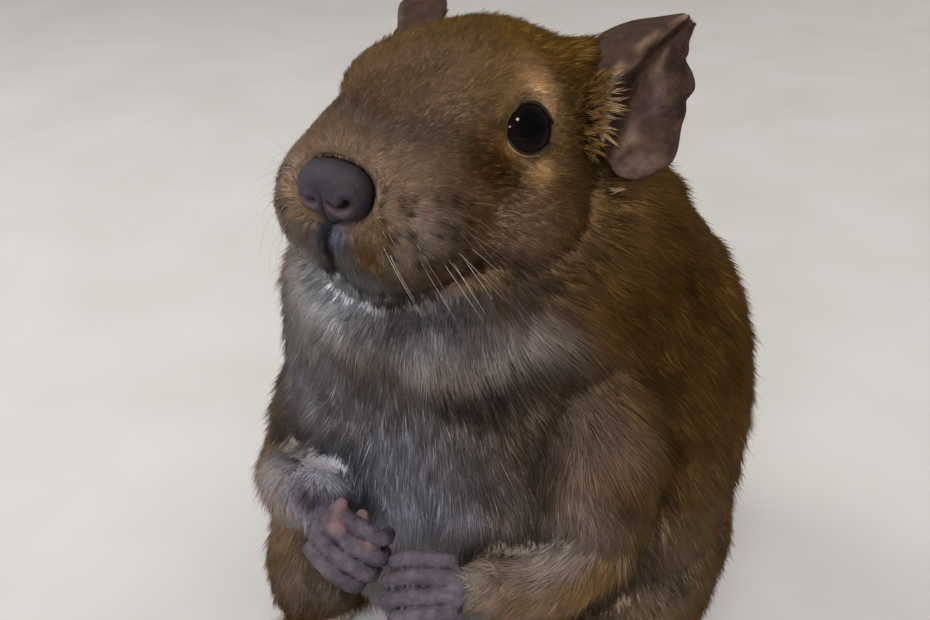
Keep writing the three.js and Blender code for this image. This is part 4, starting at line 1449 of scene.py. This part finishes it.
class DeguLids(bpy.types.Operator):
    """Make the rims of the lids round each eye"""

    bl_idname = "object.degu_lids"
    bl_label = "Lids"

    # Steps round the opening and round a lid's edge, the edge's half width and half thickness, and
    # how far its middle lies from the opening and from the eyeball
    TURNS, STEPS = 96, 14
    WIDTH, THICKNESS = 0.34, 0.22
    OVERLAP, LIFTED = 0.12, 0.1

    def execute(self, context):
        named = colours()
        # Bare moist skin, dark at the eye and paler along the lower lid
        material = skin_material("Bare lid skin", 0.7, 0.3, 0.05, 0.1)
        for side in SIDES:
            centre, axes = eye_frame(side)
            bm = bmesh.new()
            bmesh.ops.create_grid(bm, x_segments=self.TURNS, y_segments=self.STEPS, size=1)
            mesh = mesh_from(bm, f"lids_{side}")
            grid = places(mesh) * MM
            angle, section = (grid[:, 0] + 1) * 180, (grid[:, 1] + 1) * math.pi
            out = window_radius(angle) + self.OVERLAP
            high = np.sqrt(np.maximum(EYE_RADIUS**2 - out**2, 0.6))
            off = unit(np.stack([out, high], axis=1))
            down = np.stack([off[:, 1], -off[:, 0]], axis=1)
            middle = np.stack([out, high], axis=1) + off * self.LIFTED
            edge = middle + down * (self.WIDTH * np.cos(section))[:, None]
            edge += off * (self.THICKNESS * np.sin(section))[:, None]
            turn = np.radians(angle)
            x, y = -SIDES[side] * edge[:, 0] * np.cos(turn), edge[:, 0] * np.sin(turn)
            set_places(mesh, np.stack([x, y, edge[:, 1]], axis=1) @ axes + centre)
            below = smooth_step(0.1, -0.5, np.sin(turn)) * smooth_step(-0.3, 0.6, np.cos(section))
            shade = blend(named["lid_dark"], named["lid_pale"], below)
            mark(mesh, "marking", "FLOAT_COLOR", shade)
            bm = bmesh.new()
            bm.from_mesh(mesh)
            bmesh.ops.remove_doubles(bm, verts=bm.verts, dist=0.002 * MM)
            bmesh.ops.recalc_face_normals(bm, faces=bm.faces)
            bm.to_mesh(mesh)
            bm.free()
            new_piece(mesh, f"lids_{side}", material)
        return {"FINISHED"}


class DeguNose(bpy.types.Operator):
    """Make the nose pad with its nostrils and the cleft under it"""

    bl_idname = "object.degu_nose"
    bl_label = "Nose"

    NOSTRIL = ((1.5, -1.5), (2.4, -1.9), (3.5, -1.6), (4.3, -0.7))

    def execute(self, context):
        bm = bmesh.new()
        bmesh.ops.create_icosphere(bm, subdivisions=6, radius=MM)
        mesh = mesh_from(bm, "nose_pad")
        field = blended(NOSE_LUMPS, NOSE_SOFTNESS)
        ways = unit(places(mesh))
        points = reached(field, np.array(NOSE_CENTRE), ways, 12)
        set_places(mesh, points)
        normals = outward(mesh)
        ahead = smooth_step(0.5, -0.8, points[:, 1])
        sunk, pink = np.zeros(len(points)), np.zeros(len(points))
        for side in SIDES.values():
            path, _ = along_curve([(x * side, 0, z) for x, z in self.NOSTRIL], 24)
            gap = np.linalg.norm((points[:, None] - path[None])[..., [0, 2]], axis=2).min(axis=1)
            rim = np.exp(-(((gap - 1.1) / 0.5) ** 2))
            sunk += (1.5 * np.exp(-((gap / 0.42) ** 2)) - 0.16 * rim) * ahead
            low = smooth_step(-1, -1.8, points[:, 2])
            pink += 0.3 * np.exp(-(((gap - 0.6) / 0.3) ** 2)) * low * ahead
        cleft = np.exp(-((points[:, 0] / 0.26) ** 2)) * smooth_step(0.4, -2, points[:, 2])
        sunk += 0.55 * cleft * ahead
        dip = np.exp(-((points[:, 0] / 1.3) ** 2)) * smooth_step(2.5, -1, points[:, 2])
        sunk += 0.25 * dip * ahead
        points = points - normals * sunk[:, None]
        set_places(mesh, from_head(points + NOSE_AT))
        named = colours()
        # Painted shade in the sunk nostrils and cleft
        dark = smooth_step(0.25, 1.1, sunk)[:, None]
        paler = 1 + 0.35 * drift(points, 2.2, 61) + 0.25 * drift(points, 0.9, 62)
        # A painted highlight low on the front of the pad's right side
        highlight_gap = np.linalg.norm((points[:, [0, 2]] - (-1.9, -0.7)) / (1.5, 1), axis=1)
        paler += 0.9 * np.exp(-(highlight_gap**2)) * ahead
        shade = blend(named["nose"] * paler[:, None], named["nostril"], pink)
        mark(mesh, "marking", "FLOAT_COLOR", np.clip(shade * (1 - 0.85 * dark), 0, 1))
        # Bare and finely pebbled, dull as velvet
        material = skin_material("Bare pebbled nose skin", 0.7, 0.26, 0.06)
        new_piece(mesh, "nose_pad", material, ("nose",))
        return {"FINISHED"}


# Ears


def spread_over(shares, count):
    """Weights of the stops round each share on a smooth curve through that many stops."""
    stop = np.clip(shares, 0, 1) * (count - 1)
    index = np.minimum(stop.astype(int), count - 2)
    t = stop - index
    weights = np.zeros((len(shares), count))
    terms = (-t + 2 * t**2 - t**3, 2 - 5 * t**2 + 3 * t**3, t + 4 * t**2 - 3 * t**3, t**3 - t**2)
    for k, term in enumerate(terms):
        np.add.at(weights, (np.arange(len(t)), np.clip(index + k - 1, 0, count - 1)), term / 2)
    return weights


def ear_surface(side, u, v):
    """Places on the ear's leaf: u runs from front margin to rear rim, v from foot to tip."""
    ribs = np.array(EAR_RIBS, float)
    upward, over = spread_over(v, ribs.shape[0]), spread_over(u, ribs.shape[1])
    place = np.einsum("nr,nc,rcd->nd", upward, over, ribs)
    if side == "left":
        open_here = np.clip((u - EAR_RIM) / (1 - EAR_RIM), 0, 1) ** 2
        for at, depth, half in EAR_NOTCHES:
            deep = depth * np.exp(-(((v - at) / half) ** 2)) * open_here
            place = place + deep[:, None] * EAR_INWARDS
    return place * (SIDES[side], 1, 1)


class DeguEars(bpy.types.Operator):
    """Make the thin, bare ear cups with the ridge before their hollow, and their hair"""

    bl_idname = "object.degu_ears"
    bl_label = "Ears"

    COLUMNS, ROWS = 84, 84
    THICKNESS = 0.6
    # Number of hairs of the down, their radius and that of the fringe's hairs
    DOWN = 5200
    DOWN_RADIUS, FRINGE_RADIUS = 0.06, 0.065
    # Colours from the front margin to the rear rim, and marks: colour, u, v, reaches and strength
    # The ridge's band and the ear_rim marks are partly the skin's paler tone and partly painted
    # light; the ear_glint marks are painted highlights
    BANDS = (
        (0, "ear_back"), (0.2, "ear_back"), (0.27, "ear_rim"), (0.33, "ear_inside"),
        (1, "ear_inside"),
    )
    MARKS = (
        ("ear_rim", 0.49, 0.63, 0.08, 0.13, 0.75),
        ("ear_rim", 0.7, 0.5, 0.14, 0.1, 0.3),
        ("ear_glint", 0.65, 0.4, 0.07, 0.07, 0.9),
        ("ear_rim", 0.58, 0.17, 0.07, 0.1, 0.7),
        ("ear_rim", 0.82, 0.1, 0.16, 0.12, 0.5),
        ("ear_back", 0.2, 0.62, 0.09, 0.25, 0.8),
    )

    def execute(self, context):
        named = colours()
        # Thin bare skin, dark, dull as suede, finely wrinkled
        material = skin_material("Thin bare ear skin", 0.7, 0.4, 0.05, 0.12)
        # Down so thin that it only dulls the ear, and softens its edges
        fur = fur_material("Fine ear down", 0.6)
        for side in SIDES:
            mesh = leaf(
                f"ear_cup_{side}", self.COLUMNS, self.ROWS,
                lambda u, v: self.waved(side, u, v), self.THICKNESS,
            )
            u, v = marked(mesh, "share_u", 1), marked(mesh, "share_v", 1)
            local = to_head(places(mesh))
            stops = [stop for stop, _ in self.BANDS]
            bands = np.array([named[name] for _, name in self.BANDS])
            shifted = u + 0.05 * drift(local, 2.5, 25)
            shade = np.stack([np.interp(shifted, stops, bands[:, k]) for k in range(3)], axis=1)
            for name, at_u, at_v, wide, high, strength in self.MARKS:
                gap = ((shifted - at_u) / wide) ** 2 + ((v - at_v) / high) ** 2
                shade = blend(shade, named[name], strength * np.exp(-gap))
            shade = shade * (1 + 0.3 * drift(local, 1.2, 23) + 0.2 * drift(local, 0.5, 26))[:, None]
            mark(mesh, "marking", "FLOAT_COLOR", np.clip(shade, 0, 1))
            new_piece(mesh, f"ear_cup_{side}", material, (f"ear_{side}",))
            new_piece(self.down(side, named), f"ear_down_{side}", fur)
            new_piece(self.fringe(side, named), f"ear_fringe_{side}", fur)
        return {"FINISHED"}

    def waved(self, side, u, v):
        """The leaf with the folds and ripples of its skin."""
        local = ear_surface(side, u, v)
        towards = np.array([SIDES[side] * 0.45, -0.85, 0.25])
        soft = smooth_step(0, 0.3, u) * smooth_step(1, 0.85, v) * smooth_step(1, 0.9, u)
        wave = 0.6 * drift(local, 3, 21) + 0.3 * drift(local, 1.4, 22)
        wave = wave + 0.07 * drift(local, 0.5, 24)
        lobe = 0.8 * np.exp(-(((u - 0.66) / 0.06) ** 2) - ((v - 0.14) / 0.1) ** 2)
        rolled = 0.5 * np.exp(-(((u - 0.25) / 0.05) ** 2)) * smooth_step(0.1, 0.5, v)
        return from_head(local + towards * (wave * soft + lobe + rolled)[:, None])

    def down(self, side, named):
        """Short fine hairs on the outside of the ear and along its margins."""
        rng = np.random.default_rng(33)
        count = self.DOWN
        u, v = rng.random(count) ** 1.3 * 0.94, rng.random(count) ** 0.9
        small = 0.01
        at = ear_surface(side, u, v)
        low, high = np.maximum(v - small, 0), np.minimum(v + small, 1)
        along = unit(ear_surface(side, u, high) - ear_surface(side, u, low))
        low, high = np.maximum(u - small, 0), np.minimum(u + small, 1)
        outer = ear_surface(side, high, v) - ear_surface(side, low, v)
        back = unit(np.cross(along, outer))
        back *= np.sign(back[u > 0.6, 1].mean())
        way = along * 0.8 + unit(outer) * (0.5 * (u - 0.3))[:, None]
        way = unit(way + rng.standard_normal((count, 3)) * 0.15)
        length = (1.0 + 0.6 * rng.random(count)) * (1 - 0.5 * v) * (1 - 0.4 * u)
        stops = np.array([0, 1])[None, :, None]
        paths = at[:, None] + back[:, None] * (0.25 + 0.22 * stops)
        paths = from_head(paths + way[:, None] * stops * length[:, None, None])
        radii = self.DOWN_RADIUS * np.array([1, 0])
        colour = blend(named["ear_back"], named["ear_rim"], 0.7 - 0.5 * u)
        uppers, chance = back @ HEAD_AXES.T, rng.random(count)
        return strands(f"ear_down_{side}", paths, radii, uppers, colour, chance)

    def fringe(self, side, named):
        """Pale locks that stand across the front of the ear's opening, and one under its foot."""
        rng = np.random.default_rng(31)
        # Each lock's root, way, length, warmth and number of hairs
        locks = []
        for k in range(24):
            lean = 0.7 - 0.048 * k
            at = (18.7 - 0.02 * k, 6.6, 13 - 0.46 * k)
            locks.append((at, (0.8 - 0.3 * lean, 0.4 + 0.4 * lean, 0.87 * lean), 2.8, 1, 18))
        for k, v in enumerate(np.linspace(0.37, 0.02, 15)):
            lean = 0.62 - 0.075 * k
            at = ear_surface("left", np.array([0.21]), np.array([v]))[0]
            locks.append((at, (0.81 - 0.3 * lean, 0.5 + 0.4 * lean, 0.87 * lean), 4.2, 0.25, 9))
        locks.append(((21.6, 8.6, -2.8), (0.9, 0.1, 0.05), 3.4, 0.2, 24))
        paths, tint = [], []
        for at, way, size, warm, hairs in locks:
            at = np.array(at) + rng.standard_normal(3) * (0.25, 0.3, 0.25)
            way = unit(unit(way) + rng.standard_normal(3) * 0.12)
            size = size * (0.75 + 0.4 * rng.random())
            bow = np.array([0.1, -0.4, 0.1]) + rng.standard_normal(3) * 0.15
            tint += [warm + (0.35 - 0.3 * warm) * rng.random() for _ in range(hairs)]
            for _ in range(hairs):
                root = at + rng.standard_normal(3) * (0.3, 0.35, 0.22)
                reach = size * (0.5 + 0.55 * rng.random())
                tip = at + way * reach + rng.standard_normal(3) * (0.3 - 0.05 * reach)
                stops = np.array([0, 0.35, 0.7, 1])[:, None]
                paths.append(root + (tip - root) * stops + bow * np.sin(stops * math.pi))
        paths = from_head(np.array(paths) * (SIDES[side], 1, 1))
        radii = self.FRINGE_RADIUS * np.array([1, 0.95, 0.65, 0])
        colour, chance = blend(named["fringe"], named["temple"], tint), rng.random(len(paths))
        return strands(f"ear_fringe_{side}", paths, radii, (0, -0.5, 1), colour, chance)


# Claws, whiskers and brush


class DeguClaws(bpy.types.Operator):
    """Make the claws of the forepaws and the hind feet"""

    bl_idname = "object.degu_claws"
    bl_label = "Claws"

    FRONT_RADIUS, HIND_RADIUS = 0.5, 0.85
    TAPER = (1, 0.95, 0.8, 0.58, 0.32, 0)

    def execute(self, context):
        # Horn, smooth and half shiny
        material = skin_material("Dark horn of the claws", 0.35, 0.4, 0.02)
        for side in SIDES:
            front = [
                self.bent(path[-2], path[-1], (path[-2] - path[-3]) * 0.5)
                for path in finger_paths(side)
            ]
            hind = [
                self.bent(path[-2] + (0, 0, 0.5), path[-1], np.array((0, 0, 0.9)))
                for path in toe_paths(side)
            ]
            self.piece(f"claws_front_{side}", front, self.FRONT_RADIUS, material, "skin_paw")
            self.piece(f"claws_hind_{side}", hind, self.HIND_RADIUS, material, "fur_foot")
        return {"FINISHED"}

    def bent(self, root, tip, bow):
        """A curve from a claw's root to its tip."""
        start = root + (root - tip) * 0.25
        return along_curve([start, (root + tip) / 2 + bow * 0.3, tip], len(self.TAPER))[0]

    def piece(self, name, paths, radius, material, slot):
        """Claws of one paw as one piece."""
        radii = radius * np.array(self.TAPER)
        colour = colours()["claw"]
        mesh = strands(name, np.array(paths), radii, (0.3, 0.2, 1), colour, 0.5, sides=10)
        new_piece(mesh, name, material)


class DeguWhiskers(bpy.types.Operator):
    """Make the whiskers from their rows on the muzzle"""

    bl_idname = "object.degu_whiskers"
    bl_label = "Whiskers"

    STOPS = 9
    # How pale the whiskers of each row are, from the top
    PALE = {"left": (0.05, 0.1, 0.2, 0.6, 1), "right": (0.8,)}

    def execute(self, context):
        rng = np.random.default_rng(41)
        head = frame["nodes"]["head"].data
        tree = BVHTree.FromPolygons(
            [vert.co.copy() for vert in head.vertices],
            [list(face.vertices) for face in head.polygons],
        )
        # Smooth and stiff: each takes a thin light along its length
        material = fur_material("Stiff whisker keratin", 0.4)
        named = colours()
        for side, sign in SIDES.items():
            paths, thick = [], []
            for index, at in enumerate(FOLLICLES):
                row, column = divmod(index, 6)
                root = tree.find_nearest(Vector(from_head(mirrored(at, sign))) * MM)[0]
                root = np.array(root) / MM
                if side == "left":
                    way = np.array([0.4, 0.45 + 0.1 * column, -0.3 - 0.25 * row])
                    length = 3 + 0.6 * column + rng.random() * (2 + 2.4 * max(row - 2, 0))
                else:
                    way = np.array([-0.95, 0.15 + 0.05 * column, -0.1 - 0.14 * row])
                    length = 10 + 2.2 * column + rng.random() * 6
                way = unit(way + rng.standard_normal(3) * 0.12) @ HEAD_AXES.T
                droop = np.array([0, 0, -0.3 - 0.15 * rng.random()]) * length
                back = HEAD_AXES @ np.array([0, 0.3, 0]) * length
                stops = np.linspace(0, 1, self.STOPS)[:, None]
                paths.append(root - way + way * length * stops + (droop + back) * stops**2)
                thick.append(0.026 + 0.002 * column)
            paths = np.array(paths)
            paths[..., 2] = np.maximum(paths[..., 2], 0.3)
            radii = np.array(thick)[:, None] * np.linspace(1, 0.15, self.STOPS)
            pale = np.repeat(self.PALE[side], len(paths) // len(self.PALE[side]))
            colour = blend(named["jowl"], named["whisker"], pale)
            chance = 0.3 + 0.7 * rng.random(len(paths))
            name = f"whiskers_{side}"
            mesh = strands(name, paths, radii, (0, 0.3, 1), colour, chance, sides=5)
            new_piece(mesh, name, material)
        return {"FINISHED"}


class DeguBrush(bpy.types.Operator):
    """Make the black brush at the tail's end"""

    bl_idname = "object.degu_brush"
    bl_label = "Tail brush"

    # Number of hairs, their radius, and the share of the tail at which they begin
    HAIRS = 2600
    RADIUS = 0.16
    FROM = 0.62

    def execute(self, context):
        rng = np.random.default_rng(51)
        path, runs = along_curve(TAIL_PATH, 60)
        count = self.HAIRS
        start = self.FROM + (1 - self.FROM) * np.sqrt(rng.random(count))
        index = (start * (len(path) - 1)).astype(int)
        root, run = path[index], unit(runs[index] * (1, 1, 0.2))
        side = unit(np.cross(run, (0, 0, 1)))
        over = np.cross(side, run)
        turn = rng.random(count) * 2 * math.pi
        away = side * np.cos(turn)[:, None] + over * np.sin(turn)[:, None]
        thick = np.interp(start, [0.6, 1], [2.4, 1.6])
        length = np.interp(start, [0.6, 0.9, 1], [5, 13, 22]) * (0.75 + 0.35 * rng.random(count))
        stops = np.array([0, 0.3, 0.65, 1])[None, :, None]
        splay = (0.16 + 0.14 * rng.random(count)) * length
        paths = root[:, None] + away[:, None] * (thick * 0.7)[:, None, None]
        paths = paths + run[:, None] * stops * length[:, None, None]
        paths = paths + away[:, None] * np.sin(stops * 2.0) * splay[:, None, None]
        paths = paths + rng.standard_normal((count, 1, 3)) * stops**2 * 0.8
        paths[..., 2] = np.maximum(paths[..., 2], 0.15)
        radii = self.RADIUS * np.array([1, 0.95, 0.7, 0])
        # Coarse and sleek: black with a low shine
        material = fur_material("Black brush hair", 0.45)
        mesh = strands("brush_hair", paths, radii, away, colours()["brush"], rng.random(count))
        new_piece(mesh, "brush_hair", material, ("tail_brush",))
        return {"FINISHED"}


# Stage


class DeguStage(bpy.types.Operator):
    """Set up the camera, the pale floor and the soft studio light"""

    bl_idname = "object.degu_stage"
    bl_label = "Stage"

    # The camera's sensor in millimetres, the floor's half side in metres, how far it lies under the
    # animal in millimetres
    SENSOR = 36
    FLOOR_SIZE = 20
    FLOOR_DROP = 0.2
    # Name, direction from the animal, distance, size, power and colour of each light. The two lamps
    # give mirrored lights only, most of all in the eyes, and the soft fill, sky and back give none.
    LIGHTS = (
        ("overhead", (-0.6, -0.1, 0.8), 0.62, 0.22, 1.5, "FFF4E6"),
        ("window", (-0.93, -0.3, 0.32), 0.7, 0.2, 2.0, "E6EEFF"),
        ("fill", (0.3, -0.82, 0.48), 1.4, 1.1, 29, "F2F5FF"),
        ("sky", (0.25, -0.35, 0.9), 0.9, 0.8, 4.4, "F6F6FF"),
        ("back", (0.5, 0.8, 0.5), 0.9, 0.8, 3, "FFF6EA"),
        ("ceiling lamp", (0.195, -0.517, 0.834), 0.5, 0.08, 2, "FFF4E6"),
        ("small lamp", (-0.1, -0.85, 0.5), 0.5, 0.06, 0.8, "F4F6FF"),
    )

    def execute(self, context):
        scene = context.scene
        scene.view_settings.view_transform = "Standard"
        turn, rise = math.radians(AZIMUTH), math.radians(ELEVATION)
        level = math.cos(rise)
        back = Vector((math.sin(turn) * level, -math.cos(turn) * level, math.sin(rise)))
        right = Vector((math.cos(turn), math.sin(turn), 0))
        upward = back.cross(right)
        lens = bpy.data.cameras.new("camera")
        lens.sensor_fit = "HORIZONTAL"
        lens.sensor_width = self.SENSOR
        lens.lens = self.SENSOR * FOCAL_PIXELS / PHOTO_WIDTH
        lens.clip_start = 0.01
        camera = bpy.data.objects.new("camera", lens)
        axes = Matrix((right, upward, back)).transposed()
        stand = (Vector(AIM) + back * DISTANCE) * MM
        camera.matrix_world = Matrix.Translation(stand) @ axes.to_4x4()
        scene.collection.objects.link(camera)
        scene.camera = camera

        for name, way, far, size, power, tint in self.LIGHTS:
            lamp = bpy.data.lights.new(name, "AREA")
            lamp.shape = "DISK"
            lamp.size = size
            lamp.energy = power
            lamp.color = linear(tint)
            light = bpy.data.objects.new(name, lamp)
            way = Vector(way).normalized()
            light.location = Vector(AIM) * MM + way * far
            light.rotation_euler = way.to_track_quat("Z", "Y").to_euler()
            light.visible_diffuse = not name.endswith("lamp")
            light.visible_glossy = name not in ("fill", "sky", "back")
            scene.collection.objects.link(light)

        world = bpy.data.worlds.new("pale room")
        world.use_nodes = True
        background = world.node_tree.nodes["Background"]
        background.inputs["Color"].default_value = (*linear("D2D4D8"), 1)
        background.inputs["Strength"].default_value = 0.6
        scene.world = world

        bm = bmesh.new()
        bmesh.ops.create_grid(bm, x_segments=2, y_segments=2, size=self.FLOOR_SIZE)
        floor = bpy.data.objects.new("floor", mesh_from(bm, "floor"))
        for vert in floor.data.vertices:
            vert.co.z = -self.FLOOR_DROP * MM
        # Painted board, matt, hardly mottled
        material, tree, surface, coordinates = shader("Pale painted board", {"Roughness": 0.9})
        grain = node(
            tree, "ShaderNodeTexNoise",
            {"Scale": 1 / (40 * MM), "Detail": 3}, {"Vector": coordinates},
        )
        paint = node(
            tree, "ShaderNodeValToRGB", (), {"Fac": grain.outputs["Fac"]},
            [(0.3, linear("A3A099")), (0.7, linear("A9A6A0"))],
        )
        tree.links.new(paint.outputs["Color"], surface.inputs["Base Color"])
        floor.data.materials.append(material)
        scene.collection.objects.link(floor)
        return {"FINISHED"}


class DeguPanel(bpy.types.Panel):
    """The degu's pieces in the sidebar"""

    bl_idname = "VIEW3D_PT_degu"
    bl_label = "Degu"
    bl_space_type = "VIEW_3D"
    bl_region_type = "UI"
    bl_category = "Degu"

    def draw(self, context):
        for made in PIECES:
            self.layout.operator(made.bl_idname)
        for group in (context.scene.degu.sizes, context.scene.degu.colours):
            box = self.layout.box()
            for name in group.__annotations__:
                box.prop(group, name)


PIECES = (
    DeguStage, DeguSkin, DeguCoat, DeguEyes, DeguLids, DeguNose, DeguEars, DeguClaws,
    DeguWhiskers, DeguBrush,
)
CLASSES = (DeguColours, DeguSizes, DeguSettings, *PIECES, DeguPanel)


def register():
    """Makes the settings, the operators and the panel known to Blender."""
    for made in CLASSES:
        bpy.utils.register_class(made)
    bpy.types.Scene.degu = PointerProperty(type=DeguSettings)


def unregister():
    """Takes them away again."""
    del bpy.types.Scene.degu
    for made in reversed(CLASSES):
        bpy.utils.unregister_class(made)


def main():
    """Builds the whole animal."""
    register()
    for made in PIECES:
        category, name = made.bl_idname.split(".")
        getattr(getattr(bpy.ops, category), name)()


if __name__ == "__main__":
    main()
